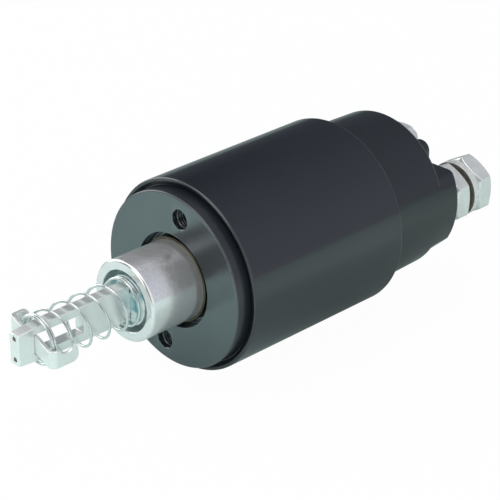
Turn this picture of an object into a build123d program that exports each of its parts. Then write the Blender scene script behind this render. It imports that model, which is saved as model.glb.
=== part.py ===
from build123d import *
import os
from math import cos, pi, radians, sin, sqrt, tan

os.makedirs("parts", exist_ok=True)

# Starter solenoid in millimetres. The origin is the centre of the mounting face, +Y runs from
# that face back to the terminals, -Y forward to the hook bar, and +Z is up.

# Fits
press_gap = 0.05
running_gap = 0.07
rod_gap = 0.06
stop_gap = 0.3
spring_end_gap = 0.1

# Can
can_radius = 29.0
can_wall = 3.0
can_setback = 4.4
can_edge_round = 0.4
front_lip_length = 1.0
front_lip_reach = 0.4
front_lip_step = 0.6
plate_recess = 1.4
rear_lip_length = 1.2
rear_lip_gap = 0.15

# Mounting plate
land_gap = 0.35
land_chamfer = 0.4
flange_depth = 5.0
mouth_radius = 14.35
mouth_depth = 4.0
hole_circle = 41.0
hole_turn = 80.0
hole_radius = 3.0
hole_depth = 9.0
hole_chamfer = 0.2

# Plunger and its guide
plunger_radius = 12.15
plunger_length = 51.1
plunger_reach = 18.1
plunger_travel = 11.0
plunger_chamfer = 0.6
recess_radius = 9.2
recess_depth = 4.5
plunger_bore = 7.2
plunger_bore_depth = 26.1
return_pocket_radius = 8.5
return_pocket_depth = 12.0
boss_radius = 3.8
sleeve_wall = 0.63
sleeve_setback = 0.7

# Bobbin and windings
bobbin_length = 45.4
bobbin_wall = 1.15
bobbin_flange = 1.8
bobbin_flange_gap = 0.4
hold_in_share = 0.455
winding_gap = 0.2

# Fixed core, gasket and leads
core_disc = 5.3
core_pocket_depth = 3.0
gasket_thickness = 1.0
gasket_width = 3.4
lead_radius = 0.6
lead_bend = 1.2
grommet_wall = 0.8
grommet_rim = 0.6
grommet_rim_thickness = 0.8
pull_in_lead_drop = 3.5
switch_lead_wall_gap = 2.9

# Switch cap
cap_flange = 2.0
cap_shoulder = 0.4
cap_wall = 2.7
cap_draft = 1.5
cap_end_wall = 7.8
cap_rim_round = 1.0
platform_step = 0.05
spring_pocket_radius = 5.0
spring_pocket_depth = 5.0
platform_height = 6.9
platform_top = 11.0
platform_corner = 4.5
platform_low_z = -12.4
platform_foot = 12.6
platform_bottom_inset = 4.4
hump_inner = 6.2
hump_width = 6.8
hump_top = 17.4
channel_washer_gap = 0.5

# Contact set
rod_radius = 2.5
rod_collar_radius = 4.5
rod_collar = 1.5
rod_tail = 2.1
contact_travel = 3.0
contact_air = 0.05
contact_spring_length = 6.0
bush_radius = 5.5
bush_flange = 1.5
bush_sleeve = 1.1
bridge_overhang = 4.7
bridge_width = 14.0
bridge_thickness = 3.0
bridge_corner = 3.0
bridge_chamfer = 0.4
rod_chamfer = 0.5
clip_thickness = 0.8
clip_radius = 4.5
clip_groove = 0.5

# Main terminals
stud_wall_gap = 6.6
stud_radius = 5.0
stud_head_length = 4.35
stud_head_x = 10.4
stud_head_z = 12.0
stud_head_corner = 2.0
stud_chamfer = 0.8
stud_projection = 3.3
main_nut_flats = 17.0
main_nut_thickness = 6.0
main_nut_turn = 30.0
lock_washer_radius = 8.8
lock_washer_thickness = 2.5
lock_washer_play = 0.15
lock_washer_split = 1.2
loose_nut_space = 1.5

# Switch terminal
switch_stud_wall_gap = 9.4
switch_stud_radius = 3.0
switch_head_radius = 4.8
switch_head_length = 2.5
switch_boss_radius = 5.6
switch_boss_height = 4.1
switch_washer_radius = 6.0
switch_washer_thickness = 1.2
switch_stud_chamfer = 0.5
switch_nut_flats = 10.0
switch_nut_thickness = 5.0
switch_projection = 2.9

# Hook bar, seat and clip
seat_radius = 7.6
seat_thickness = 1.2
seat_skirt = 2.6
seat_chamfer = 0.3
slot_gap = 0.25
bar_length = 39.2
bar_thickness = 3.8
bar_height = 10.9
nose_height = 9.3
nose_length = 10.0
bar_corner = 1.2
window_margin = 5.5
window_length = 17.1
window_height = 5.8
window_play = 0.6
tail_height = 6.5
rivet_length = 0.8
head_washer_gap = 0.6
head_washer_thickness = 2.5
shoulder_gap = 0.2
dimple_radius = 0.7
dimple_spacing = 6.0
sheet = 1.2
clip_outer_bend = 2.0
clip_spring_gap = 0.55
wing_drop = 2.4
near_wing_length = 9.0
far_wing_length = 6.5
wing_corner = 2.0
wing_notch = 1.6

# Springs
lever_wire = 0.8
lever_seat_rim = 0.15
lever_turns = 4.5
lever_closed_turns = 1.5
lever_start = 134.0
meshing_wire = 1.6
meshing_seat_gap = 0.1
meshing_turns = 5.0
meshing_length = 23.7
return_wire = 1.4
return_coil = 6.3
return_turns = 4.0
contact_wire = 0.9
contact_coil = 3.9
contact_turns = 2.0
rebound_wire = 0.8
rebound_coil = 3.6
rebound_turns = 3.5

# Stations along Y
flange_front = can_setback + front_lip_length
plate_rear = flange_front + flange_depth
bobbin_rear = plate_rear + bobbin_length
disc_rear = bobbin_rear + core_disc
gasket_rear = disc_rear + gasket_thickness
cap_flange_rear = gasket_rear + cap_flange
can_rear = cap_flange_rear + rear_lip_length
collar_rear = disc_rear + rod_collar
bush_front = collar_rear + contact_spring_length
bridge_front = bush_front + bush_flange
bridge_rear = bridge_front + bridge_thickness
rod_clip_front = bridge_rear + bush_flange
rod_clip_rear = rod_clip_front + clip_thickness
rod_rear = rod_clip_rear + rod_tail
stud_head_front = bridge_rear + contact_travel + contact_air
cavity_rear = stud_head_front + stud_head_length
spring_pocket_rear = cavity_rear + spring_pocket_depth
cap_rear = cavity_rear + cap_end_wall
platform_rear = cap_rear + platform_height
inner_nut_rear = platform_rear + main_nut_thickness
lock_washer_front = inner_nut_rear + loose_nut_space
lock_washer_rear = lock_washer_front + lock_washer_thickness
outer_nut_rear = lock_washer_rear + main_nut_thickness
stud_rear = outer_nut_rear + stud_projection
switch_boss_rear = cap_rear + switch_boss_height
switch_washer_rear = switch_boss_rear + switch_washer_thickness
switch_nut_rear = switch_washer_rear + switch_nut_thickness
switch_stud_rear = switch_nut_rear + switch_projection
plunger_front = -plunger_reach
plunger_rear = plunger_front + plunger_length
plug_front = plunger_rear + plunger_travel + stop_gap
rod_front = plunger_rear + plunger_travel - contact_travel + spring_end_gap
seat_shoulder = plunger_front + recess_depth
seat_rear = seat_shoulder - seat_skirt
seat_front = seat_rear - seat_thickness
bar_shoulder = seat_front - shoulder_gap
bar_front = bar_shoulder - bar_length
window_front = bar_front + window_margin
window_rear = window_front + window_length
web_rear = window_front + sheet
clip_band = window_height - window_play
head_washer_front = seat_rear + meshing_length
head_washer_rear = head_washer_front + head_washer_thickness

# Radii
can_bore = can_radius - can_wall
recess_bore = can_bore + plate_recess
lip_bore = recess_bore - front_lip_reach
land_radius = lip_bore - land_gap
sleeve_inner = plunger_radius + running_gap
sleeve_outer = sleeve_inner + sleeve_wall
plate_bore = sleeve_outer + press_gap
plug_radius = sleeve_inner - press_gap
bobbin_inner = sleeve_outer + 2 * press_gap
bobbin_outer = bobbin_inner + bobbin_wall
bobbin_flange_radius = can_bore - bobbin_flange_gap
cap_flange_radius = can_bore - 2 * press_gap
cap_body_radius = can_bore - cap_shoulder
cap_cavity_radius = cap_body_radius - cap_wall
cap_rear_radius = cap_body_radius - (cap_rear - cap_flange_rear) * tan(radians(cap_draft))
platform_root = cap_rear - 2 * cap_rim_round
skin_radius = cap_body_radius - (platform_root - cap_flange_rear) * tan(radians(cap_draft))
platform_radius = skin_radius - platform_step
platform_bottom = platform_radius - platform_bottom_inset
stud_x = cap_cavity_radius - stud_wall_gap
pull_in_lead_z = -stud_head_z / 2 - pull_in_lead_drop
switch_lead_z = cap_cavity_radius - switch_lead_wall_gap
switch_z = cap_cavity_radius - switch_stud_wall_gap
channel_floor = switch_z - switch_washer_radius - channel_washer_gap
lead_hole_radius = lead_radius + running_gap
grommet_radius = lead_hole_radius + grommet_wall
head_washer_radius = plunger_bore - head_washer_gap
meshing_coil = seat_radius - seat_thickness - meshing_seat_gap - meshing_wire / 2
lever_coil = seat_radius - lever_seat_rim - lever_wire / 2
clip_half_span = lever_coil + lever_wire / 2 + clip_spring_gap + sheet


def turned(points, x=0.0, z=0.0):
    """Ring or disc turned about an axis along Y from (radius, y) corner points."""
    with BuildPart() as ring:
        with BuildSketch(Plane(origin=(x, 0, z))):
            with BuildLine():
                Polyline(*points, close=True)
            make_face()
        revolve(axis=Axis((x, 0, z), (0, 1, 0)))
    return ring.part


def tube(inner, outer, front, rear, x=0.0, z=0.0):
    """Plain ring along Y."""
    return turned([(inner, front), (outer, front), (outer, rear), (inner, rear)], x, z)


def across(x, y, z):
    """Plane square to Y: local x along +X, local y along -Z, extrusions run along +Y."""
    return Plane(origin=(x, y, z), x_dir=(1, 0, 0), z_dir=(0, 1, 0))


def hex_nut(flats, thickness, bore, x, y, z, turn):
    """Hexagon nut with chamfered corners and a chamfered bore."""
    corner = flats / sqrt(3)
    face = flats * 0.475
    drop = (corner - face) * tan(radians(30))
    lead_in = bore * 0.08
    with BuildPart() as nut:
        with BuildSketch(across(x, y, z)):
            RegularPolygon(flats / 2, 6, major_radius=False, rotation=turn)
        extrude(amount=thickness)
        with BuildSketch(Plane(origin=(x, y, z))):
            with BuildLine():
                Polyline(
                    (bore + lead_in, 0), (face, 0), (corner, drop), (corner, thickness - drop),
                    (face, thickness), (bore + lead_in, thickness), (bore, thickness - lead_in),
                    (bore, lead_in), close=True)
            make_face()
        revolve(axis=Axis((x, y, z), (0, 1, 0)), mode=Mode.INTERSECT)
    return nut.part


def split_washer(inner, outer, thickness, split, x, y, z):
    """Spring lock washer with a slanted split on its -Z side."""
    slant = thickness / 2
    with BuildPart() as washer:
        with BuildSketch(across(x, y, z)):
            Circle(outer)
            Circle(inner, mode=Mode.SUBTRACT)
        extrude(amount=thickness)
        with BuildSketch(Plane(origin=(x, y, z), x_dir=(0, 1, 0), z_dir=(0, 0, -1))):
            with BuildLine():
                Polyline(
                    (0, -split / 2 - slant), (thickness, -split / 2 + slant),
                    (thickness, split / 2 + slant), (0, split / 2 - slant), close=True)
            make_face()
        extrude(amount=2 * outer, mode=Mode.SUBTRACT)
    return washer.part


def main_stud(x):
    """Threaded terminal stud with a flat rounded contact head inside the cap."""
    with BuildPart() as stud:
        with BuildSketch(across(x, stud_head_front, 0)):
            RectangleRounded(stud_head_x, stud_head_z, stud_head_corner)
        extrude(amount=stud_head_length)
        with BuildSketch(across(x, cavity_rear, 0)):
            Circle(stud_radius)
        extrude(amount=stud_rear - cavity_rear)
        chamfer(stud.faces().sort_by(Axis.Y)[-1].edges(), stud_chamfer)
    return stud.part


def coil_spring(wire, coil, front, rear, open_turns, closed_turns=1.0, start=0.0):
    """Right-hand compression spring along Y with closed turns at both ends."""
    closed_rise = 1.05 * wire
    low = front + spring_end_gap + wire / 2
    end_rise = closed_turns * closed_rise
    span = rear - front - 2 * spring_end_gap - wire - 2 * end_rise
    steps = 12
    total = int((open_turns + 2 * closed_turns) * steps)
    points = []
    for step in range(total + 1):
        turn = step / steps
        opened = min(max(turn - closed_turns, 0), open_turns)
        rise = (turn - opened) * closed_rise + span * opened / open_turns
        angle = radians(start) - 2 * pi * turn
        points.append((coil * cos(angle), low + rise, coil * sin(angle)))
    with BuildPart() as spring:
        with BuildLine() as path:
            Spline(points)
        with BuildSketch(Plane(origin=path.line @ 0, z_dir=path.line % 0)):
            Circle(wire / 2)
        sweep(path=path.line)
    return spring.part


def save(shape, name):
    """Label a finished piece and write its file."""
    shape.label = name
    export_step(shape, "parts/" + name + ".step")


# Can: drawn steel tube, recessed in front for the plate and curled in over the cap behind.
with BuildPart() as can:
    with BuildSketch(Plane.XY):
        with BuildLine():
            Polyline(
                (can_bore, plate_rear), (recess_bore, plate_rear), (recess_bore, flange_front),
                (lip_bore, flange_front), (lip_bore, can_setback + front_lip_step),
                (lip_bore + front_lip_length, can_setback),
                (can_radius - can_edge_round, can_setback),
                (can_radius, can_setback + can_edge_round),
                (can_radius, can_rear - can_edge_round), (can_radius - can_edge_round, can_rear),
                (cap_body_radius + rear_lip_gap, can_rear),
                (cap_body_radius + rear_lip_gap, cap_flange_rear),
                (can_bore, cap_flange_rear), close=True)
        make_face()
    revolve(axis=Axis.Y)
save(can.part, "can")

# Mounting plate: stepped disc with the plunger mouth and two tapped fixing holes.
with BuildPart() as front_plate:
    with BuildSketch(Plane.XY):
        with BuildLine():
            Polyline(
                (mouth_radius, 0), (land_radius - land_chamfer, 0), (land_radius, land_chamfer),
                (land_radius, flange_front), (recess_bore - press_gap, flange_front),
                (recess_bore - press_gap, plate_rear), (plate_bore, plate_rear),
                (plate_bore, mouth_depth), (mouth_radius, mouth_depth), close=True)
        make_face()
    revolve(axis=Axis.Y)
    with BuildSketch(across(0, 0, 0)):
        with PolarLocations(hole_circle / 2, 2, start_angle=-hole_turn):
            Circle(hole_radius)
    extrude(amount=hole_depth, mode=Mode.SUBTRACT)
    rims = front_plate.edges().filter_by(GeomType.CIRCLE).group_by(Axis.Y)[0]
    chamfer(rims.sort_by(SortBy.RADIUS)[0:2], hole_chamfer)
save(front_plate.part, "front_plate")

# Guide sleeve: thin brass tube that the plunger runs in.
guide_sleeve = tube(sleeve_inner, sleeve_outer, sleeve_setback, bobbin_rear - spring_end_gap)
save(guide_sleeve, "guide_sleeve")

# Bobbin: moulded spool with lead holes in its rear flange.
with BuildPart() as bobbin:
    with BuildSketch(Plane.XY):
        with BuildLine():
            Polyline(
                (bobbin_inner, plate_rear), (bobbin_flange_radius, plate_rear),
                (bobbin_flange_radius, plate_rear + bobbin_flange),
                (bobbin_outer, plate_rear + bobbin_flange),
                (bobbin_outer, bobbin_rear - bobbin_flange),
                (bobbin_flange_radius, bobbin_rear - bobbin_flange),
                (bobbin_flange_radius, bobbin_rear), (bobbin_inner, bobbin_rear), close=True)
        make_face()
    revolve(axis=Axis.Y)
    with BuildSketch(across(0, bobbin_rear - bobbin_flange, 0)):
        with Locations((stud_x, -pull_in_lead_z), (0, -switch_lead_z)):
            Circle(lead_hole_radius)
    extrude(amount=bobbin_flange, mode=Mode.SUBTRACT)
save(bobbin.part, "bobbin")

# Windings: the hold-in coil lies under the pull-in coil.
winding_front = plate_rear + bobbin_flange + winding_gap
winding_rear = bobbin_rear - bobbin_flange - winding_gap
hold_in_inner = bobbin_outer + press_gap
winding_outer = bobbin_flange_radius - 2 * bobbin_flange_gap
hold_in_outer = hold_in_inner + hold_in_share * (winding_outer - hold_in_inner)
hold_in_winding = tube(hold_in_inner, hold_in_outer, winding_front, winding_rear)
save(hold_in_winding, "hold_in_winding")
pull_in_winding = tube(hold_in_outer + press_gap, winding_outer, winding_front, winding_rear)
save(pull_in_winding, "pull_in_winding")

# Fixed core: disc across the can with the pole plug that the plunger is drawn to.
with BuildPart() as fixed_core:
    with BuildSketch(Plane.XY):
        with BuildLine():
            Polyline(
                (rod_radius + rod_gap, plug_front + core_pocket_depth),
                (return_pocket_radius, plug_front + core_pocket_depth),
                (return_pocket_radius, plug_front), (plug_radius, plug_front),
                (plug_radius, bobbin_rear), (can_bore - press_gap, bobbin_rear),
                (can_bore - press_gap, disc_rear), (rod_radius + rod_gap, disc_rear), close=True)
        make_face()
    revolve(axis=Axis.Y)
    with BuildSketch(across(0, bobbin_rear, 0)):
        with Locations((stud_x, -pull_in_lead_z), (0, -switch_lead_z)):
            Circle(grommet_radius + press_gap)
    extrude(amount=core_disc, mode=Mode.SUBTRACT)
save(fixed_core.part, "fixed_core")

# Gasket between the core disc and the cap.
cap_gasket = tube(
    cap_flange_radius - gasket_width, cap_flange_radius, disc_rear, gasket_rear)
save(cap_gasket, "cap_gasket")

# Grommets: two insulating bushes for the leads in the core disc.
with BuildPart() as lead_grommets:
    with BuildSketch(across(0, bobbin_rear, 0)):
        with Locations((stud_x, -pull_in_lead_z), (0, -switch_lead_z)):
            Circle(grommet_radius)
            Circle(lead_hole_radius, mode=Mode.SUBTRACT)
    extrude(amount=core_disc)
    with BuildSketch(across(0, disc_rear, 0)):
        with Locations((stud_x, -pull_in_lead_z), (0, -switch_lead_z)):
            Circle(grommet_radius + grommet_rim)
            Circle(lead_hole_radius, mode=Mode.SUBTRACT)
    extrude(amount=grommet_rim_thickness)
save(lead_grommets.part, "lead_grommets")

# Leads: each winding wire runs back through its grommet and turns in to its terminal's head.
with BuildPart() as pull_in_lead:
    with BuildLine() as pull_in_path:
        lead_turn_y = (stud_head_front + cavity_rear) / 2
        FilletPolyline(
            (stud_x, bobbin_rear - bobbin_flange, pull_in_lead_z),
            (stud_x, lead_turn_y, pull_in_lead_z),
            (stud_x, lead_turn_y, -stud_head_z / 2 - spring_end_gap),
            radius=lead_bend)
    with BuildSketch(across(stud_x, bobbin_rear - bobbin_flange, pull_in_lead_z)):
        Circle(lead_radius)
    sweep(path=pull_in_path.line)
save(pull_in_lead.part, "pull_in_lead")

with BuildPart() as switch_lead:
    with BuildLine() as switch_path:
        switch_turn_y = cavity_rear - switch_head_length / 2
        FilletPolyline(
            (0, bobbin_rear - bobbin_flange, switch_lead_z),
            (0, switch_turn_y, switch_lead_z),
            (0, switch_turn_y, switch_z + switch_head_radius + spring_end_gap),
            radius=lead_bend)
    with BuildSketch(across(0, bobbin_rear - bobbin_flange, switch_lead_z)):
        Circle(lead_radius)
    sweep(path=switch_path.line)
save(switch_lead.part, "switch_lead")

# Switch cap: drafted moulding with a closed end, a terminal platform with two humps, and a
# round boss for the switch terminal in the channel between them.
hump_radius = hump_width / 2
hump_centre = hump_inner + hump_radius
hump_outer = hump_inner + hump_width
with BuildPart() as switch_cap:
    with BuildSketch(Plane.XY) as wall_section:
        with BuildLine():
            Polyline(
                (cap_cavity_radius, gasket_rear), (cap_flange_radius, gasket_rear),
                (cap_flange_radius, cap_flange_rear), (cap_body_radius, cap_flange_rear),
                (cap_rear_radius, cap_rear), (0, cap_rear), (0, spring_pocket_rear),
                (spring_pocket_radius, spring_pocket_rear), (spring_pocket_radius, cavity_rear),
                (cap_cavity_radius, cavity_rear), close=True)
        make_face()
        fillet(wall_section.vertices().group_by(Axis.Y)[-1].sort_by(Axis.X)[-1], cap_rim_round)
    revolve(axis=Axis.Y)
    with BuildSketch(Plane.XZ.offset(-platform_root)) as platform_outline:
        with BuildLine():
            side_x = sqrt(platform_radius**2 - platform_low_z**2)
            shoulder_x = sqrt(platform_radius**2 - platform_top**2)
            Line((0, -platform_bottom), (platform_foot, -platform_bottom))
            Line((platform_foot, -platform_bottom), (side_x, platform_low_z))
            ThreePointArc((side_x, platform_low_z), (platform_radius, 0), (shoulder_x, platform_top))
            Line((shoulder_x, platform_top), (hump_outer, platform_top))
            Line((hump_outer, platform_top), (hump_outer, hump_top - hump_radius))
            ThreePointArc(
                (hump_outer, hump_top - hump_radius), (hump_centre, hump_top),
                (hump_inner, hump_top - hump_radius))
            Line((hump_inner, hump_top - hump_radius), (hump_inner, channel_floor))
            Line((hump_inner, channel_floor), (0, channel_floor))
            Line((0, channel_floor), (0, -platform_bottom))
        make_face()
        shoulder = platform_outline.vertices().sort_by_distance((shoulder_x, platform_top))[0]
        fillet(shoulder, platform_corner)
        mirror(about=Plane.YZ)
    extrude(amount=-(platform_rear - platform_root), taper=cap_draft)
    with BuildSketch(across(0, cap_rear, switch_z)):
        Circle(switch_boss_radius)
    extrude(amount=switch_boss_height)
    with BuildSketch(across(0, cavity_rear, 0)):
        with GridLocations(2 * stud_x, 1, 2, 1):
            Circle(stud_radius + press_gap)
        with Locations((0, -switch_z)):
            Circle(switch_stud_radius + press_gap)
    extrude(amount=platform_rear - cavity_rear, mode=Mode.SUBTRACT)
save(switch_cap.part, "switch_cap")

# Main terminals: the motor stud on +X and the battery stud on -X, each with a seated nut,
# and a split washer and second nut ready for the cable.
motor_stud = main_stud(stud_x)
save(motor_stud, "motor_stud")
battery_stud = main_stud(-stud_x)
save(battery_stud, "battery_stud")
nut_bore = stud_radius + press_gap
for side, place in (("motor", stud_x), ("battery", -stud_x)):
    inner_nut = hex_nut(
        main_nut_flats, main_nut_thickness, nut_bore, place, platform_rear, 0, main_nut_turn)
    save(inner_nut, side + "_inner_nut")
    lock_washer = split_washer(
        stud_radius + lock_washer_play, lock_washer_radius, lock_washer_thickness,
        lock_washer_split, place, lock_washer_front, 0)
    save(lock_washer, side + "_lock_washer")
    outer_nut = hex_nut(
        main_nut_flats, main_nut_thickness, nut_bore, place, lock_washer_rear, 0, main_nut_turn)
    save(outer_nut, side + "_outer_nut")

# Switch terminal: small stud, washer and nut on the round boss.
with BuildPart() as switch_stud:
    with BuildSketch(across(0, cavity_rear - switch_head_length, switch_z)):
        Circle(switch_head_radius)
    extrude(amount=switch_head_length)
    with BuildSketch(across(0, cavity_rear, switch_z)):
        Circle(switch_stud_radius)
    extrude(amount=switch_stud_rear - cavity_rear)
    chamfer(switch_stud.faces().sort_by(Axis.Y)[-1].edges(), switch_stud_chamfer)
save(switch_stud.part, "switch_stud")
switch_washer = tube(
    switch_stud_radius + lock_washer_play, switch_washer_radius,
    switch_boss_rear, switch_washer_rear, 0, switch_z)
save(switch_washer, "switch_washer")
switch_nut = hex_nut(
    switch_nut_flats, switch_nut_thickness, switch_stud_radius + press_gap,
    0, switch_washer_rear, switch_z, 0)
save(switch_nut, "switch_nut")

# Push rod: collar against the core disc, ring groove behind the contact bridge.
with BuildPart() as push_rod:
    with BuildSketch(Plane.XY):
        with BuildLine():
            Polyline(
                (0, rod_front), (rod_radius - rod_chamfer, rod_front),
                (rod_radius, rod_front + rod_chamfer),
                (rod_radius, disc_rear), (rod_collar_radius, disc_rear),
                (rod_collar_radius, collar_rear), (rod_radius, collar_rear),
                (rod_radius, rod_clip_front), (rod_radius - clip_groove, rod_clip_front),
                (rod_radius - clip_groove, rod_clip_rear), (rod_radius, rod_clip_rear),
                (rod_radius, rod_rear - rod_chamfer), (rod_radius - rod_chamfer, rod_rear), (0, rod_rear),
                close=True)
        make_face()
    revolve(axis=Axis.Y)
save(push_rod.part, "push_rod")

# Contact bridge on its insulating bush, with washer and retaining ring.
bush_bore = rod_radius + press_gap
bush_sleeve_radius = bush_bore + bush_sleeve
bridge_bush = turned([
    (bush_bore, bush_front), (bush_radius, bush_front), (bush_radius, bridge_front),
    (bush_sleeve_radius, bridge_front), (bush_sleeve_radius, bridge_rear),
    (bush_bore, bridge_rear)])
save(bridge_bush, "bridge_bush")

with BuildPart() as contact_bridge:
    with BuildSketch(across(0, bridge_front, 0)):
        RectangleRounded(2 * (stud_x + bridge_overhang), bridge_width, bridge_corner)
        Circle(bush_sleeve_radius + press_gap, mode=Mode.SUBTRACT)
    extrude(amount=bridge_thickness)
    chamfer(contact_bridge.faces().sort_by(Axis.Y)[-1].outer_wire().edges(), bridge_chamfer)
save(contact_bridge.part, "contact_bridge")

bridge_washer = tube(bush_bore, bush_radius, bridge_rear, rod_clip_front)
save(bridge_washer, "bridge_washer")

with BuildPart() as rod_clip:
    with BuildSketch(across(0, rod_clip_front, 0)):
        Circle(clip_radius)
        Circle(rod_radius - clip_groove + press_gap, mode=Mode.SUBTRACT)
        with Locations((0, clip_radius / 2)):
            Rectangle(2 * (rod_radius - clip_groove) * 0.9, clip_radius, mode=Mode.SUBTRACT)
    extrude(amount=clip_thickness)
save(rod_clip.part, "rod_clip")

# Plunger: stepped mouth for the seat, long front bore, and a rear pocket round a central boss.
with BuildPart() as plunger:
    with BuildSketch(Plane.XY):
        with BuildLine():
            Polyline(
                (recess_radius, plunger_front), (plunger_radius - plunger_chamfer, plunger_front),
                (plunger_radius, plunger_front + plunger_chamfer),
                (plunger_radius, plunger_rear - plunger_chamfer),
                (plunger_radius - plunger_chamfer, plunger_rear),
                (return_pocket_radius, plunger_rear),
                (return_pocket_radius, plunger_rear - return_pocket_depth),
                (boss_radius, plunger_rear - return_pocket_depth), (boss_radius, plunger_rear),
                (0, plunger_rear), (0, seat_shoulder + plunger_bore_depth),
                (plunger_bore, seat_shoulder + plunger_bore_depth),
                (plunger_bore, seat_shoulder), (recess_radius, seat_shoulder), close=True)
        make_face()
    revolve(axis=Axis.Y)
save(plunger.part, "plunger")

# Spring seat: shallow zinc cup, slotted for the bar's tail.
with BuildPart() as spring_seat:
    with BuildSketch(Plane.XY):
        with BuildLine():
            Polyline(
                (0, seat_front), (seat_radius - seat_chamfer, seat_front),
                (seat_radius, seat_front + seat_chamfer),
                (seat_radius, seat_shoulder), (seat_radius - seat_thickness, seat_shoulder),
                (seat_radius - seat_thickness, seat_rear), (0, seat_rear), close=True)
        make_face()
    revolve(axis=Axis.Y)
    with BuildSketch(across(0, seat_front, 0)):
        Rectangle(bar_thickness + 2 * slot_gap, tail_height + 2 * slot_gap)
    extrude(amount=seat_thickness, mode=Mode.SUBTRACT)
save(spring_seat.part, "spring_seat")

# Hook bar: flat stamping with a tapered nose, a long window and a riveted tail.
with BuildPart() as hook_bar:
    with BuildSketch(Plane.YZ.offset(-bar_thickness / 2)) as bar_outline:
        with BuildLine():
            Polyline(
                (bar_front, -nose_height / 2), (bar_front + nose_length, -bar_height / 2),
                (bar_shoulder, -bar_height / 2), (bar_shoulder, -tail_height / 2),
                (head_washer_rear + rivet_length, -tail_height / 2),
                (head_washer_rear + rivet_length, tail_height / 2),
                (bar_shoulder, tail_height / 2), (bar_shoulder, bar_height / 2),
                (bar_front + nose_length, bar_height / 2), (bar_front, nose_height / 2),
                close=True)
        make_face()
        fillet(bar_outline.vertices().group_by(Axis.X)[0], bar_corner)
        with Locations(((window_front + window_rear) / 2, 0)):
            RectangleRounded(window_length, window_height, window_play / 2, mode=Mode.SUBTRACT)
    extrude(amount=bar_thickness)
    with Locations((0, bar_front, dimple_spacing / 2), (0, bar_front, -dimple_spacing / 2)):
        Sphere(dimple_radius, mode=Mode.SUBTRACT)
save(hook_bar.part, "hook_bar")

# Head washer: collar on the tail that carries the meshing spring.
with BuildPart() as hook_head_washer:
    with BuildSketch(across(0, head_washer_front, 0)):
        Circle(head_washer_radius)
        Rectangle(bar_thickness + 2 * press_gap, tail_height + 2 * press_gap, mode=Mode.SUBTRACT)
    extrude(amount=head_washer_thickness)
save(hook_head_washer.part, "hook_head_washer")

# Spring clip: one bent strip through the window. Its plan is a U, and seen from the front the
# strip steps down on +X and up on -X, where the two wings turn back along the spring.
near_wing_rear = window_front + near_wing_length
far_wing_rear = window_front + far_wing_length
band_half = clip_band / 2
leave_x = bar_thickness / 2 + slot_gap
with BuildPart() as spring_clip:
    with BuildSketch(Plane.XY.offset(-bar_height)) as clip_plan:
        with BuildLine():
            Polyline(
                (clip_half_span, window_front), (clip_half_span, near_wing_rear),
                (clip_half_span - sheet, near_wing_rear), (clip_half_span - sheet, web_rear),
                (sheet - clip_half_span, web_rear), (sheet - clip_half_span, far_wing_rear),
                (-clip_half_span, far_wing_rear), (-clip_half_span, window_front), close=True)
        make_face()
        fillet(clip_plan.vertices().group_by(Axis.Y)[0], clip_outer_bend)
        fillet(clip_plan.vertices().group_by(Axis.Y)[1], clip_outer_bend - sheet)
    extrude(amount=2 * bar_height)
    with BuildSketch(Plane.XZ.offset(-window_front)):
        with BuildLine():
            turn_x = clip_half_span - clip_outer_bend
            Polyline(
                (leave_x, band_half), (turn_x, band_half - wing_drop),
                (clip_half_span, band_half - wing_drop), (clip_half_span, -band_half - wing_drop),
                (turn_x, -band_half - wing_drop), (leave_x, -band_half), (-leave_x, -band_half),
                (-turn_x, wing_drop - band_half), (-clip_half_span, wing_drop - band_half),
                (-clip_half_span, wing_drop + band_half), (-turn_x, wing_drop + band_half),
                (-leave_x, band_half), close=True)
        make_face()
    extrude(amount=-near_wing_length, mode=Mode.INTERSECT)
    fillet(
        spring_clip.edges().filter_by(Axis.X).filter_by_position(
            Axis.Y, far_wing_rear - sheet, near_wing_rear + sheet), wing_corner)
    with BuildSketch(Plane.YZ.offset(clip_half_span - 1.5 * sheet)):
        with Locations(((web_rear + near_wing_rear) / 2, band_half - wing_drop + wing_notch)):
            Circle(2 * wing_notch)
    extrude(amount=2 * sheet, mode=Mode.SUBTRACT)
save(spring_clip.part, "spring_clip")

# Springs
lever_spring = coil_spring(
    lever_wire, lever_coil, web_rear, seat_front, lever_turns, lever_closed_turns, lever_start)
save(lever_spring, "lever_spring")
meshing_spring = coil_spring(
    meshing_wire, meshing_coil, seat_rear, head_washer_front, meshing_turns)
save(meshing_spring, "meshing_spring")
plunger_return_spring = coil_spring(
    return_wire, return_coil, plunger_rear - return_pocket_depth,
    plug_front + core_pocket_depth, return_turns)
save(plunger_return_spring, "plunger_return_spring")
contact_spring = coil_spring(
    contact_wire, contact_coil, collar_rear, bush_front, contact_turns)
save(contact_spring, "contact_spring")
contact_return_spring = coil_spring(
    rebound_wire, rebound_coil, rod_clip_rear, spring_pocket_rear, rebound_turns)
save(contact_return_spring, "contact_return_spring")
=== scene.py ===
"""Starter solenoid dressed for a studio picture."""
import logging
import math
from collections.abc import Callable
from dataclasses import dataclass, field
from enum import Enum
from functools import cache

import bmesh
import bpy
from mathutils import Matrix, Vector


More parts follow.
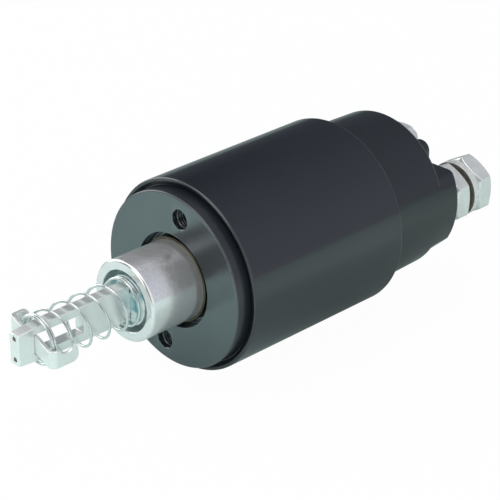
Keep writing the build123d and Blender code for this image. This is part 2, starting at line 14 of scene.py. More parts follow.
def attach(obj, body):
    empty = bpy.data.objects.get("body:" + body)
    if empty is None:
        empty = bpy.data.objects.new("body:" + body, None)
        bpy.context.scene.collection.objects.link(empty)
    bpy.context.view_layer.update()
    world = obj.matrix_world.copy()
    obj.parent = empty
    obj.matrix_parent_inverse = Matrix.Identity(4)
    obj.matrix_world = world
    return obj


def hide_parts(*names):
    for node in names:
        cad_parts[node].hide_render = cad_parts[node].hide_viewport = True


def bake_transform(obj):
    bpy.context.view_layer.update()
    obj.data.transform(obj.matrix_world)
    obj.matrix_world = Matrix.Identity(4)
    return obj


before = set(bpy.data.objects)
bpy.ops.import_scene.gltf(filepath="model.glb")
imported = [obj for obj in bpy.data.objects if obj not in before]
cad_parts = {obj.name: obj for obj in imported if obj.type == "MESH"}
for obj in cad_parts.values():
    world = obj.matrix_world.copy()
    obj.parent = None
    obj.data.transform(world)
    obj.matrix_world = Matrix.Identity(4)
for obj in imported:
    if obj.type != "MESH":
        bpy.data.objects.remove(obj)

LOG = logging.getLogger("starter_solenoid")
MM = 0.001
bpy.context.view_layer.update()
Point = tuple[float, ...]
Outline = list[Point]
NodeTree = bpy.types.NodeTree
Thing = bpy.types.Object


def linear(code: str) -> tuple[float, float, float, float]:
    """Turn a screen colour into the linear colour that shaders use.

    Args:
        code: Colour as "#rrggbb".

    Returns:
        Red, green, blue and alpha.
    """
    parts = [int(code[place:place + 2], 16) / 255 for place in (1, 3, 5)]
    red, green, blue = [
        part / 12.92 if part <= 0.04045 else ((part + 0.055) / 1.055) ** 2.4 for part in parts]
    return red, green, blue, 1.0


class Marks(Enum):
    """How a surface's fine lines run."""

    NONE = "none"
    TURNED = "turned"
    DRAWN = "drawn"


class Flow:
    """A number in a node tree. Sums written with it become Math nodes."""

    def __init__(self, tree: NodeTree, socket: bpy.types.NodeSocket) -> None:
        """Hold the tree and the socket that gives the number."""
        self.tree = tree
        self.socket = socket

    def calc(self, operation: str, *others: object, clamp: bool = False) -> "Flow":
        """Add a Math node on this number.

        Args:
            operation: Math operation.
            others: Its other inputs, as numbers, flows or sockets.
            clamp: Keep the result between 0 and 1.

        Returns:
            The result.
        """
        return Wiring(self.tree).value("ShaderNodeMath", 0, dict(enumerate((self, *others))),
                                       operation=operation, use_clamp=clamp)

    def __add__(self, other: object) -> "Flow":
        """Add."""
        return self.calc("ADD", other)

    def __sub__(self, other: object) -> "Flow":
        """Subtract."""
        return self.calc("SUBTRACT", other)

    def __mul__(self, other: object) -> "Flow":
        """Multiply."""
        return self.calc("MULTIPLY", other)

    def __truediv__(self, other: object) -> "Flow":
        """Divide."""
        return self.calc("DIVIDE", other)


class Wiring:
    """Adds nodes to a tree and links them."""

    def __init__(self, tree: NodeTree) -> None:
        """Hold the tree, and later what its Group Input gives."""
        self.tree = tree
        self.given: dict[str, Flow] = {}

    @classmethod
    def group(cls, name: str, kind: str, inputs: dict[str, object],
              outputs: dict[str, str]) -> "Wiring":
        """Make an empty node group with its sockets.

        Args:
            name: Group name.
            kind: Tree type.
            inputs: Default of each input, or its socket type where that is a word.
            outputs: Socket type of each output.

        Returns:
            The group's wiring.
        """
        wires = cls(bpy.data.node_groups.new(name, kind))
        kinds = {int: "Int", float: "Float", tuple: "Color"}
        for way, sockets in (("INPUT", inputs), ("OUTPUT", outputs)):
            for label, value in sockets.items():
                word = value if isinstance(value, str) else kinds[type(value)]
                socket = wires.tree.interface.new_socket(
                    label, in_out=way, socket_type="NodeSocket" + word)
                if not isinstance(value, str):
                    socket.default_value = value
        source = wires.node("NodeGroupInput")
        wires.given = {port.name: Flow(wires.tree, port) for port in source.outputs if port.name}
        return wires

    def feed(self, node: bpy.types.Node, inputs: dict[object, object]) -> None:
        """Link or set inputs of a node.

        Args:
            node: The node.
            inputs: Number, colour, flow or socket for each input.
        """
        for label, value in inputs.items():
            value = value.socket if isinstance(value, Flow) else value
            if isinstance(value, bpy.types.NodeSocket):
                self.tree.links.new(value, node.inputs[label])
            else:
                node.inputs[label].default_value = value

    def node(self, kind: str, inputs: dict[object, object] | None = None,
             **settings: object) -> bpy.types.Node:
        """Add a node.

        Args:
            kind: Node type.
            inputs: What feed() takes.
            settings: The node's own settings.

        Returns:
            The node.
        """
        node = self.tree.nodes.new(kind)
        for label, value in settings.items():
            setattr(node, label, value)
        self.feed(node, inputs or {})
        return node

    def value(self, kind: str, output: object, inputs: dict[object, object] | None = None,
              **settings: object) -> Flow:
        """Add a node as node() does, and return one of its outputs."""
        return Flow(self.tree, self.node(kind, inputs, **settings).outputs[output])

    def axes(self, vector: Flow | None = None) -> list[Flow]:
        """Split a vector into its parts.

        Args:
            vector: The vector; the object coordinates if there is none.

        Returns:
            X, Y and Z.
        """
        vector = vector or self.value("ShaderNodeTexCoord", "Object")
        split = self.node("ShaderNodeSeparateXYZ", {0: vector})
        return [Flow(self.tree, socket) for socket in split.outputs]

    def noise(self, scale: object, detail: float, roughness: float = 0.55,
              stretch: Point = (1.0, 1.0, 1.0)) -> Flow:
        """Add an object-space noise.

        Args:
            scale: Flow or number.
            detail: Noise detail.
            roughness: Noise roughness.
            stretch: Scale of the pattern along X, Y and Z.

        Returns:
            The noise value.
        """
        place = self.value("ShaderNodeMapping", "Vector", {
            "Vector": self.value("ShaderNodeTexCoord", "Object"), "Scale": stretch})
        return self.value("ShaderNodeTexNoise", "Fac", {
            "Vector": place, "Scale": scale, "Detail": detail, "Roughness": roughness})

    def mix(self, share: object, near: object, far: object) -> Flow:
        """Mix two colours by a share."""
        return self.value("ShaderNodeMix", "Result", {"Factor": share, "A": near, "B": far},
                          data_type="RGBA")

    def end(self, **outputs: Flow) -> NodeTree:
        """Feed the group's outputs and return the tree."""
        self.feed(self.node("NodeGroupOutput"), outputs)
        return self.tree


class ShaderGroups:
    """Node groups that several finishes share, each built once."""

    @staticmethod
    @cache
    def mottle() -> NodeTree:
        """Two colours clouded into each other, with a mask of the clouds.

        Returns:
            The group.
        """
        wires = Wiring.group(
            "surface_mottle", "ShaderNodeTree",
            {"Base": (0.5, 0.5, 0.5, 1.0), "Cloud": (0.6, 0.6, 0.6, 1.0), "Scale": 150.0,
             "Contrast": 2.0}, {"Color": "Color", "Mask": "Float"})
        given = wires.given
        steep = (wires.noise(given["Scale"], 5.0) - 0.5) * given["Contrast"]
        mask = steep.calc("ADD", 0.5, clamp=True)
        return wires.end(Color=wires.mix(mask, given["Base"], given["Cloud"]), Mask=mask)

    @staticmethod
    @cache
    def lines(marks: Marks) -> NodeTree:
        """Fine tool lines: rings round the part's axis, or streaks along it.

        Args:
            marks: How the lines run.

        Returns:
            A group with a Density input and a Height output.
        """
        wires = Wiring.group("surface_lines_" + marks.value, "ShaderNodeTree",
                             {"Density": 3000.0}, {"Height": "Float"})
        density = wires.given["Density"]
        if marks is Marks.DRAWN:
            return wires.end(Height=wires.noise(density, 2.0, 0.5, (1.0, 0.03, 1.0)))
        x, y, z = wires.axes()
        radius = (x * x + z * z).calc("SQRT")
        return wires.end(Height=wires.value("ShaderNodeTexNoise", "Fac", {
            "W": (radius + y) * density, "Detail": 3.0, "Scale": 1.0}, noise_dimensions="1D"))

    @staticmethod
    @cache
    def grain() -> NodeTree:
        """Fine grain of paint, plating or moulded skin, with a few deeper pits.

        Returns:
            The group.
        """
        wires = Wiring.group("surface_grain", "ShaderNodeTree", {"Scale": 2500.0, "Pits": 0.2},
                             {"Height": "Float"})
        scale = wires.given["Scale"]
        fine = wires.noise(scale, 3.0)
        pit = wires.noise(scale * 0.22, 2.0).calc("LESS_THAN", 0.36) * wires.given["Pits"]
        return wires.end(Height=fine - pit)

    @staticmethod
    @cache
    def wear_and_highlight() -> NodeTree:
        """Mask of rubbed outer edges, which also places a painted highlight line along them, from
        the piece's own "edge" attribute, broken by noise.

        Returns:
            The group.
        """
        wires = Wiring.group("edge_wear_and_highlight", "ShaderNodeTree", {"Amount": 0.5}, {"Mask": "Float"})
        edge = wires.value("ShaderNodeAttribute", "Fac", attribute_name="edge")
        patchy = edge * (wires.noise(700.0, 4.0) + 0.3)
        return wires.end(Mask=patchy.calc("MULTIPLY", wires.given["Amount"], clamp=True))


@dataclass(frozen=True)
class Finish:
    """One surface finish, built as a material from the shared groups.

    Colours are screen colours. Bump depths are in millimetres.
    """

    name: str
    slot: str
    base: str
    cloud: str
    cloud_scale: float = 150.0
    cloud_contrast: float = 2.0
    roughness: float = 0.4
    roughness_spread: float = 0.1
    metallic: float = 0.0
    specular: float = 0.5
    coat: float = 0.0
    coat_roughness: float = 0.2
    grain_scale: float = 2500.0
    grain_depth: float = 0.004
    pits: float = 0.2
    marks: Marks = Marks.NONE
    mark_density: float = 3000.0
    mark_depth: float = 0.003
    # Edge colour and its amount: partly rubbed edges, partly a painted highlight line along rounded
    # rims.
    rubbed_and_lit: str = "#c8c8c8"
    wear_and_highlight: float = 0.0

    def material(self) -> bpy.types.Material:
        """Return the material, built on first use.

        Returns:
            The material.
        """
        found = bpy.data.materials.get(self.name)
        if found:
            return found
        material = bpy.data.materials.new(self.name)
        material.use_nodes = True
        wires = Wiring(material.node_tree)
        mottle = wires.node("ShaderNodeGroup", {
            "Base": linear(self.base), "Cloud": linear(self.cloud), "Scale": self.cloud_scale,
            "Contrast": self.cloud_contrast}, node_tree=ShaderGroups.mottle())
        wear_and_highlight = wires.value("ShaderNodeGroup", "Mask", {"Amount": self.wear_and_highlight},
                           node_tree=ShaderGroups.wear_and_highlight())
        clouds = Flow(wires.tree, mottle.outputs["Mask"])
        grain = wires.value("ShaderNodeGroup", "Height", {
            "Scale": self.grain_scale, "Pits": self.pits}, node_tree=ShaderGroups.grain())
        normal = wires.value("ShaderNodeBump", "Normal", {
            "Height": grain, "Distance": self.grain_depth * MM})
        if self.marks is not Marks.NONE:
            lines = wires.value("ShaderNodeGroup", "Height", {"Density": self.mark_density},
                                node_tree=ShaderGroups.lines(self.marks))
            normal = wires.value("ShaderNodeBump", "Normal", {
                "Height": lines, "Distance": self.mark_depth * MM, "Normal": normal})
        low = self.roughness - self.roughness_spread / 2
        # The edge mask mixes in the edge colour: rubbed edges and a painted highlight line.
        wires.feed(wires.tree.nodes["Principled BSDF"], {
            "Metallic": self.metallic, "Specular IOR Level": self.specular,
            "Coat Weight": self.coat, "Coat Roughness": self.coat_roughness,
            "Base Color": wires.mix(wear_and_highlight, mottle.outputs["Color"], linear(self.rubbed_and_lit)),
            "Roughness": clouds * self.roughness_spread + low, "Normal": normal})
        return material


class Finishes:
    """The finishes of the solenoid's pieces."""

    # Edge colours below stand partly for rubbed edges, partly for painted highlight lines on rounded
    # rims.
    CAN = Finish("can_enamel", "can_paint", "#0a1017", "#10161d", 60.0, 1.4, 0.15, 0.04,
                 specular=0.85, grain_scale=1500.0, grain_depth=0.0015, rubbed_and_lit="#757b80", wear_and_highlight=0.45)
    PLATE = Finish("plate_finish", "plate_steel", "#676e71", "#6f7679", 90.0, 1.5, 0.22, 0.05,
                   metallic=0.92, grain_depth=0.002, marks=Marks.TURNED, mark_density=2600.0,
                   mark_depth=0.001, rubbed_and_lit="#9aa6a8", wear_and_highlight=0.15)
    THREAD = Finish("cut_thread", "plate_steel", "#5d6466", "#7a8183", 500.0, 2.0, 0.28, 0.08,
                    metallic=0.85)
    LAND = Finish("land_enamel", "can_paint", "#1d2126", "#23282e", 80.0, 1.5, 0.25, 0.05,
                  specular=0.6, rubbed_and_lit="#8a8f92", wear_and_highlight=0.25)
    PLUNGER = Finish("plunger_plating", "plunger_steel", "#e0e0e0", "#f4f4f4", 1300.0, 1.7, 0.2,
                     0.1, metallic=0.76, grain_scale=2600.0, grain_depth=0.0008, pits=0.0,
                     rubbed_and_lit="#f4f6f4", wear_and_highlight=0.4)
    # Painted shade, tinted teal, for the plunger's recessed mouth.
    MOUTH_SHADE = Finish("plunger_mouth_shade", "plunger_steel", "#b7c8c6", "#c9d6d4", 700.0, 2.0, 0.3,
                   0.1, metallic=0.45, grain_depth=0.002, pits=0.0)
    ZINC = Finish("bright_zinc", "zinc", "#e4e9e8", "#f0f3f2", 160.0, 1.6, 0.2, 0.06,
                  metallic=0.58, grain_scale=1500.0, grain_depth=0.002, pits=0.0,
                  rubbed_and_lit="#f4f8f6", wear_and_highlight=0.4)
    # Painted shade for the hollows of the punch marks.
    PUNCH_SHADE = Finish("punched_mark_shade", "zinc", "#6a655e", "#857f77", 900.0, 2.0, 0.5, 0.1,
                  metallic=0.3)
    WASHER = Finish("rolled_washer", "zinc", "#d9dddb", "#f2f4f3", 700.0, 3.0, 0.34, 0.12,
                    metallic=0.4, grain_scale=1300.0, grain_depth=0.012, rubbed_and_lit="#f0f3f2", wear_and_highlight=0.3)
    # Painted shade in the gap between nut and washer, with some rust.
    GAP_SHADE = Finish("gap_shade_and_rust", "zinc", "#6a655f", "#85807a", 900.0, 2.0, 0.4, 0.1,
                   metallic=0.5)
    SEAT = Finish("teal_zinc", "zinc", "#74b3bd", "#f6faf9", 360.0, 3.8, 0.2, 0.1,
                  metallic=0.42, grain_scale=1500.0, grain_depth=0.006, pits=0.0,
                  rubbed_and_lit="#eef4f2", wear_and_highlight=0.5)
    WIRE = Finish("spring_wire", "spring_steel", "#cfd6d5", "#dde2e1", 200.0, 1.4, 0.15, 0.05,
                  metallic=0.8, grain_scale=3000.0, grain_depth=0.001)
    NUT = Finish("nut_zinc", "zinc", "#dde1df", "#edf0ef", 260.0, 2.0, 0.2, 0.08,
                 metallic=0.5, grain_scale=1800.0, grain_depth=0.003, pits=0.0,
                 rubbed_and_lit="#f0f3f2", wear_and_highlight=0.25)
    BRASS = Finish("drawn_brass", "brass", "#454339", "#504e43", 180.0, 2.0, 0.32, 0.1,
                   metallic=0.9, marks=Marks.DRAWN, mark_density=1500.0, mark_depth=0.002,
                   rubbed_and_lit="#a39c80", wear_and_highlight=0.3)
    STEEL = Finish("machined_steel", "core_steel", "#8b8d8f", "#9a9c9e", 160.0, 2.0, 0.35, 0.1,
                   metallic=0.9, marks=Marks.TURNED, mark_density=2200.0)
    COPPER = Finish("machined_copper", "copper", "#b87a58", "#c88b68", 150.0, 2.0, 0.32, 0.1,
                    metallic=0.9)
    WINDING = Finish("enamelled_wire", "copper_wire", "#8f4a26", "#a75a30", 220.0, 2.0, 0.3, 0.1,
                     metallic=0.4, coat=0.4, marks=Marks.TURNED, mark_density=1300.0,
                     mark_depth=0.05)
    CAP = Finish("moulded_cap", "cap_plastic", "#091017", "#0e151b", 90.0, 1.4, 0.2, 0.05,
                 specular=0.75, grain_scale=2200.0, grain_depth=0.0015, rubbed_and_lit="#7c8688", wear_and_highlight=0.4)
    BOBBIN = Finish("bobbin_nylon", "bobbin_plastic", "#cfc8b2", "#dad4c2", 120.0, 1.6, 0.45)
    INSULATOR = Finish("phenolic", "insulator", "#4a3022", "#5a3b2a", 200.0, 2.5, 0.5)
    RUBBER = Finish("moulded_gasket", "gasket_rubber", "#131313", "#1d1d1d", 200.0, 2.0, 0.65)


TINY = 1e-9
MERGE = 1e-7
STRAIGHT = math.radians(176)
CORNER_SHARE = 0.46


def soften(outline: Outline, radius: float, steps: int = 4, hold: float = 0.0,
           away: float = 0.0) -> Outline:
    """Round the corners of a closed outline, apart from those at x = 0 and below.

    Args:
        outline: Corner points; a third number is that corner's own radius.
        radius: Corner radius for the others.
        steps: Arc steps at each corner.
        hold: Distance from each arc at which a holding point keeps long runs flat.
        away: Move the outline by this much along X while it is rounded, if it crosses x = 0.

    Returns:
        The rounded outline as pairs.
    """
    result: Outline = []
    outline = [(corner[0] + away, *corner[1:]) for corner in outline]
    for place, corner in enumerate(outline):
        here = Vector(corner[:2])
        own = corner[2] if len(corner) > 2 else radius
        back = Vector(outline[place - 1][:2]) - here
        ahead = Vector(outline[(place + 1) % len(outline)][:2]) - here
        turn = back.angle(ahead)
        if own <= 0 or turn > STRAIGHT or here.x <= TINY:
            result.append((here.x, here.y))
            continue
        reach = min(own / math.tan(turn / 2), CORNER_SHARE * back.length,
                    CORNER_SHARE * ahead.length)
        arc = reach * math.tan(turn / 2)
        back_way, ahead_way = back.normalized(), ahead.normalized()
        first, last = here + back_way * reach, here + ahead_way * reach
        middle = here + (back_way + ahead_way).normalized() * (arc / math.sin(turn / 2))
        begin = math.atan2(*(first - middle).yx)
        sweep = math.atan2(*(last - middle).yx) - begin
        sweep = (sweep + math.pi) % (2 * math.pi) - math.pi
        if hold and back.length > 2 * (reach + hold):
            result.append(tuple(first + back_way * hold))
        for step in range(steps + 1):
            angle = begin + sweep * step / steps
            result.append((middle.x + arc * math.cos(angle), middle.y + arc * math.sin(angle)))
        if hold and ahead.length > 2 * (reach + hold):
            result.append(tuple(last + ahead_way * hold))
    return [(x - away, y) for x, y in result]


def circle(steps: int) -> Outline:
    """Points of a unit circle about the origin."""
    turns = [2 * math.pi * step / steps for step in range(steps)]
    return [(math.cos(turn), math.sin(turn)) for turn in turns]


def inset(outline: Outline, reach: float) -> Outline:
    """Move each point of an anticlockwise outline inwards.

    Args:
        outline: The outline.
        reach: Small distance to move by.

    Returns:
        The smaller outline.
    """
    result: Outline = []
    for place, here in enumerate(outline):
        ahead = outline[(place + 1) % len(outline)]
        run = Vector((ahead[0] - outline[place - 1][0], ahead[1] - outline[place - 1][1]))
        run.normalize()
        result.append((here[0] - run.y * reach, here[1] + run.x * reach))
    return result


def stand(name: str, data: bpy.types.ID) -> Thing:
    """Put a mesh, a lamp or a camera in the scene.

    Args:
        name: Object name.
        data: What the object shows.

    Returns:
        The new object.
    """
    obj = bpy.data.objects.new(name, data)
    bpy.context.scene.collection.objects.link(obj)
    return obj


class Maker:
    """Builds the solenoid's meshes. Sizes are in millimetres, and +Y is the part's axis."""

    EASE_STEPS = 3
    SHARP = math.radians(38)
    MARK_FROM, MARK_TO, MARK_RISE = 17.0, 50.0, 5.0

    @staticmethod
    def mend(mesh: bpy.types.Mesh, merge: bool = True, flat: float = 0.0) -> None:
        """Turn a mesh's normals outward, and clean it first.

        Args:
            mesh: The mesh.
            merge: Join doubled points.
            flat: Bends up to this angle in degrees are dissolved.
        """
        shape = bmesh.new()
        shape.from_mesh(mesh)
        if merge:
            bmesh.ops.remove_doubles(shape, verts=shape.verts, dist=MERGE)
        if flat:
            bmesh.ops.dissolve_limit(shape, angle_limit=math.radians(flat), verts=shape.verts,
                                     edges=shape.edges)
        bmesh.ops.recalc_face_normals(shape, faces=shape.faces)
        shape.to_mesh(mesh)
        shape.free()

    @classmethod
    def piece(cls, name: str, points: list[Point], faces: list[list[int]],
              smooth: bool = True) -> Thing:
        """Make an object from points and faces, with its normals outward.

        Args:
            name: Object name.
            points: Corner points.
            faces: Faces as lists of point numbers.
            smooth: Shade the faces smooth.

        Returns:
            The new object, standing at the origin.
        """
        mesh = bpy.data.meshes.new(name)
        mesh.from_pydata([tuple(value * MM for value in point) for point in points], [], faces)
        cls.mend(mesh)
        mesh.polygons.foreach_set("use_smooth", [smooth] * len(mesh.polygons))
        return stand(name, mesh)

    @classmethod
    def turned(cls, name: str, outline: Outline, x: float = 0.0, z: float = 0.0,
               segments: int = 192, radius: float = 0.15, hold: float = 0.25) -> Thing:
        """Turn a closed (radius, y) outline about an axis along Y.

        Args:
            name: Object name.
            outline: Corners of the section, each with its own rounding if it has three numbers.
            x: Axis place along X.
            z: Axis place along Z.
            segments: Steps round the axis.
            radius: Corner rounding where none is given.
            hold: Distance of the holding rings.

        Returns:
            The turned object.
        """
        points: list[Point] = []
        rings: list[list[int]] = []
        for reach, along in soften(outline, radius, 4, hold):
            if reach <= TINY:
                points.append((x, along, z))
                rings.append([len(points) - 1] * segments)
                continue
            rings.append(list(range(len(points), len(points) + segments)))
            points += [(x + reach * c, along, z + reach * s) for c, s in circle(segments)]
        faces = []
        for place, ahead in enumerate(rings):
            here = rings[place - 1]
            if here[0] == here[1] and ahead[0] == ahead[1]:
                continue
            for step in range(segments):
                after = (step + 1) % segments
                corners = [here[step], here[after], ahead[after], ahead[step]]
                faces.append(list(dict.fromkeys(corners)))
        return cls.piece(name, points, faces)

    @staticmethod
    def skin(rows: int, depth: int, closed: bool = False) -> list[list[int]]:
        """Faces between rows of points, where each row is a closed ring.

        Args:
            rows: Count of rows.
            depth: Points in a row.
            closed: Join the last row to the first.

        Returns:
            The faces.
        """
        faces = []
        for row in range(rows if closed else rows - 1):
            here, ahead = row * depth, (row + 1) % rows * depth
            faces += [[here + place, here + (place + 1) % depth, ahead + (place + 1) % depth,
                       ahead + place] for place in range(depth)]
        return faces

    @classmethod
    def stacked(cls, name: str, sections: list[Outline], stations: list[float],
                to_space: Matrix, smooth: bool = True) -> Thing:
        """Close a solid through like outlines at rising stations.

        Args:
            name: Object name.
            sections: One outline for each station, with equal counts of points.
            stations: Depths of the outlines.
            to_space: Places outline points (x, y, depth) in the part.
            smooth: Shade the faces smooth.

        Returns:
            The solid.
        """
        count = len(sections[0])
        points = [tuple(to_space @ Vector((a, b, depth)))
                  for section, depth in zip(sections, stations) for a, b in section]
        faces = [list(range(count)), list(range(len(points) - count, len(points)))]
        return cls.piece(name, points, faces + cls.skin(len(sections), count), smooth)

    @classmethod
    def plate(cls, name: str, outline: Outline, to_space: Matrix,
              depth: float) -> Thing:
        """Close a prism on an outline, as stacked() does."""
        return cls.stacked(name, [outline, outline], [0.0, depth], to_space, smooth=False)

    @staticmethod
    def settle(obj: Thing) -> Thing:
        """Apply every modifier of an object by reading its evaluated mesh.

        Args:
            obj: The object.

        Returns:
            The same object.
        """
        graph = bpy.context.evaluated_depsgraph_get()
        mesh = bpy.data.meshes.new_from_object(obj.evaluated_get(graph))
        obj.modifiers.clear()
        obj.data = mesh
        return obj

    @classmethod
    def change(cls, obj: Thing, kind: str, **settings: object) -> Thing:
        """Run one modifier on an object and keep its result.

        Args:
            obj: The object.
            kind: Modifier type.
            settings: The modifier's settings.

        Returns:
            The same object.
        """
        modifier = obj.modifiers.new(kind.lower(), kind)
        for label, value in settings.items():
            setattr(modifier, label, value)
        return cls.settle(obj)

    @classmethod
    def combine(cls, obj: Thing, tool: Thing,
                operation: str = "DIFFERENCE") -> None:
        """Cut with, or add, another closed object, which is used up."""
        cls.change(obj, "BOOLEAN", operation=operation, object=tool, solver="EXACT")
        bpy.data.objects.remove(tool)

    @classmethod
    def ease(cls, obj: Thing, width: float = 0.0,
             limit: float = 35.0) -> Thing:
        """Round the sharp edges and smooth the faces between them.

        Args:
            obj: Object to finish.
            width: Rounding width; 0 only smooths.
            limit: Angle in degrees from which an edge is rounded.

        Returns:
            The same object.
        """
        if width > 0:
            cls.change(obj, "BEVEL", width=width * MM, segments=cls.EASE_STEPS,
                       limit_method="ANGLE", angle_limit=math.radians(limit))
        obj.data.polygons.foreach_set("use_smooth", [True] * len(obj.data.polygons))
        obj.data.set_sharp_from_angle(angle=cls.SHARP)
        return cls.change(obj, "WEIGHTED_NORMAL", keep_sharp=True, weight=60)

    @classmethod
    def mark_edges(cls, obj: Thing) -> None:
        """Write how far each point lies on a rounded outer edge to the "edge" attribute.

        Args:
            obj: The object.
        """
        shape = bmesh.new()
        shape.from_mesh(obj.data)
        marks = [0.0] * len(shape.verts)
        for edge in shape.edges:
            turn = math.degrees(edge.calc_face_angle_signed(0.0))
            if cls.MARK_FROM < turn < cls.MARK_TO:
                mark = min(1.0, (turn - cls.MARK_FROM) / cls.MARK_RISE)
                for point in edge.verts:
                    marks[point.index] = max(marks[point.index], mark)
        shape.free()
        obj.data.attributes.new("edge", "FLOAT", "POINT").data.foreach_set("value", marks)

    @staticmethod
    def accent(obj: Thing, finish: Finish, belongs: Callable[[Vector], bool]) -> None:
        """Give some faces of a dressed piece another finish.

        Args:
            obj: Dressed piece.
            finish: The other finish.
            belongs: Tells from a face's centre in millimetres whether the face gets it.
        """
        obj.data.materials.append(finish.material())
        for face in obj.data.polygons:
            if belongs(face.center / MM):
                face.material_index = len(obj.data.materials) - 1

    @classmethod
    def dress(cls, obj: Thing, finish: Finish, body: str, *nodes: str) -> None:
        """Give a piece its finish, let it ride on its body and stand for its CAD nodes.

        Args:
            obj: The piece.
            finish: Its finish.
            body: Body that it rides on.
            nodes: CAD nodes that it stands for.
        """
        cls.mark_edges(obj)
        obj.data.materials.clear()
        obj.data.materials.append(finish.material())
        if nodes:
            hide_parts(*nodes)
        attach(obj, body)
        LOG.info("%s: %d faces on %s", obj.name, len(obj.data.polygons), body)


class RuleTrees:
    """Geometry node trees for the shapes that follow a rule, each built once."""

    @staticmethod
    def start(name: str, sizes: dict[str, float]) -> Wiring:
        """Make a geometry tree with named size inputs; whole numbers make integer sockets."""
        return Wiring.group(name, "GeometryNodeTree", {
            "Geometry": "Geometry", **sizes, "Finish": "Material"}, {"Geometry": "Geometry"})

    @staticmethod
    def close(wires: Wiring, shape: Flow) -> NodeTree:
        """End a tree in smooth shading, Realize Instances and Set Material.

        Args:
            wires: The tree's wiring.
            shape: The finished geometry.

        Returns:
            The tree.
        """
        for kind in ("GeometryNodeSetShadeSmooth", "GeometryNodeRealizeInstances"):
            shape = wires.value(kind, "Geometry", {"Geometry": shape})
        return wires.end(Geometry=wires.value("GeometryNodeSetMaterial", "Geometry", {
            "Geometry": shape, "Material": wires.given["Finish"]}))

    @classmethod
    @cache
    def coil(cls) -> NodeTree:
        """Round or edged wire wound along Y, with closed turns at both ends.

        Returns:
            The tree.
        """
        wires = cls.start("wound_wire", {
            "Coil": 0.007, "Wire": 0.0004, "Low": 0.0, "High": 0.03, "Front Turns": 1.0,
            "Open Turns": 4.5, "Rear Turns": 1.0, "Closed Rise": 0.0008, "Start": 0.0,
            "First": 0.0, "Last": 1.0, "Sides": 16, "Steps": 400})
        given = wires.given
        closed, first, coil = given["Closed Rise"], given["First"], given["Coil"]
        front_turns, open_turns = given["Front Turns"], given["Open Turns"]
        factor = wires.value("GeometryNodeSplineParameter", "Factor")
        share = factor.calc("MULTIPLY_ADD", given["Last"] - first, first)
        total = front_turns + open_turns + given["Rear Turns"]
        turn = share * total
        front_rise = front_turns * closed
        height = given["High"] - given["Low"]
        slope = (height - front_rise - given["Rear Turns"] * closed) / open_turns
        opened = (turn - front_turns).calc("MULTIPLY_ADD", slope, front_rise)
        front = (turn * closed).calc("SMOOTH_MAX", opened, closed)
        back = height - (total - turn) * closed
        angle = turn.calc("MULTIPLY_ADD", -2 * math.pi, given["Start"])
        place = wires.value("ShaderNodeCombineXYZ", "Vector", {
            "X": angle.calc("COSINE") * coil,
            "Y": given["Low"] + front.calc("SMOOTH_MIN", back, closed),
            "Z": angle.calc("SINE") * coil})
        line = wires.value("GeometryNodeResampleCurve", "Curve", {
            "Curve": wires.value("GeometryNodeCurvePrimitiveLine", "Curve"),
            "Count": given["Steps"]})
        line = wires.value("GeometryNodeSetPosition", "Geometry", {
            "Geometry": line, "Position": place})
        section = wires.value("GeometryNodeCurvePrimitiveCircle", "Curve", {
            "Resolution": given["Sides"], "Radius": given["Wire"]})
        return cls.close(wires, wires.value("GeometryNodeCurveToMesh", "Mesh", {
            "Curve": line, "Profile Curve": section, "Fill Caps": True}))

    @classmethod
    @cache
    def thread(cls) -> NodeTree:
        """Threaded rod along Y: a fine cylinder whose skin rises and falls with the helix.

        Returns:
            The tree.
        """
        wires = cls.start("threaded_rod", {
            "Radius": 0.005, "Depth": 0.0009, "Pitch": 0.0015, "Low": 0.0, "High": 0.03,
            "Lead": 0.001, "Across": 0.0, "Up": 0.0, "Sides": 72, "Rows": 200})
        given = wires.given
        radius, low, high = given["Radius"], given["Low"], given["High"]
        x, y, z = wires.axes(wires.value("GeometryNodeInputPosition", "Position"))
        along = (z + 0.5).calc("MULTIPLY_ADD", high - low, low)
        phase = along / given["Pitch"] + y.calc("ARCTAN2", x) / (2 * math.pi)
        crest = (phase.calc("PINGPONG", 0.5) * 2.0 * 1.25).calc("MINIMUM", 1.0)
        root = crest * -1.0 + 1.0
        limit = radius - given["Lead"] + (high - along)
        reach = (radius - root * given["Depth"]).calc("MINIMUM", limit)
        ring = (x * x + y * y).calc("SQRT")
        reach = reach * ring.calc("MINIMUM", 1.0)
        unit = ring.calc("MAXIMUM", 0.0001)
        place = wires.value("ShaderNodeCombineXYZ", "Vector", {
            "X": (x / unit).calc("MULTIPLY_ADD", reach, given["Across"]), "Y": along,
            "Z": (y / unit).calc("MULTIPLY_ADD", reach, given["Up"])})
        rod = wires.value("GeometryNodeMeshCylinder", "Mesh", {
            "Vertices": given["Sides"], "Side Segments": given["Rows"], "Radius": 1.0,
            "Depth": 1.0}, fill_type="TRIANGLE_FAN")
        rod = wires.value("GeometryNodeSetPosition", "Geometry", {
            "Geometry": rod, "Position": place})
        return cls.close(wires, wires.value("GeometryNodeFlipFaces", "Mesh", {"Mesh": rod}))

    @staticmethod
    def grow(name: str, tree: NodeTree, finish: Finish, lengths: dict[str, float],
             others: dict[str, float]) -> Thing:
        """Run a tree and keep its result as a plain mesh.

        Args:
            name: Object name.
            tree: The tree.
            finish: Finish of the piece.
            lengths: Named inputs that are lengths, in millimetres.
            others: The other named inputs.

        Returns:
            The finished object at the origin.
        """
        obj = stand(name, bpy.data.meshes.new(name))
        modifier = obj.modifiers.new("rule", "NODES")
        modifier.node_group = tree
        keys = {item.name: item.identifier for item in tree.interface.items_tree
                if item.in_out == "INPUT"}
        values = {label: value * MM for label, value in lengths.items()}
        for label, value in {**values, **others, "Finish": finish.material()}.items():
            modifier[keys[label]] = value
        Maker.settle(obj)
        Maker.mend(obj.data, merge=False)
        return obj


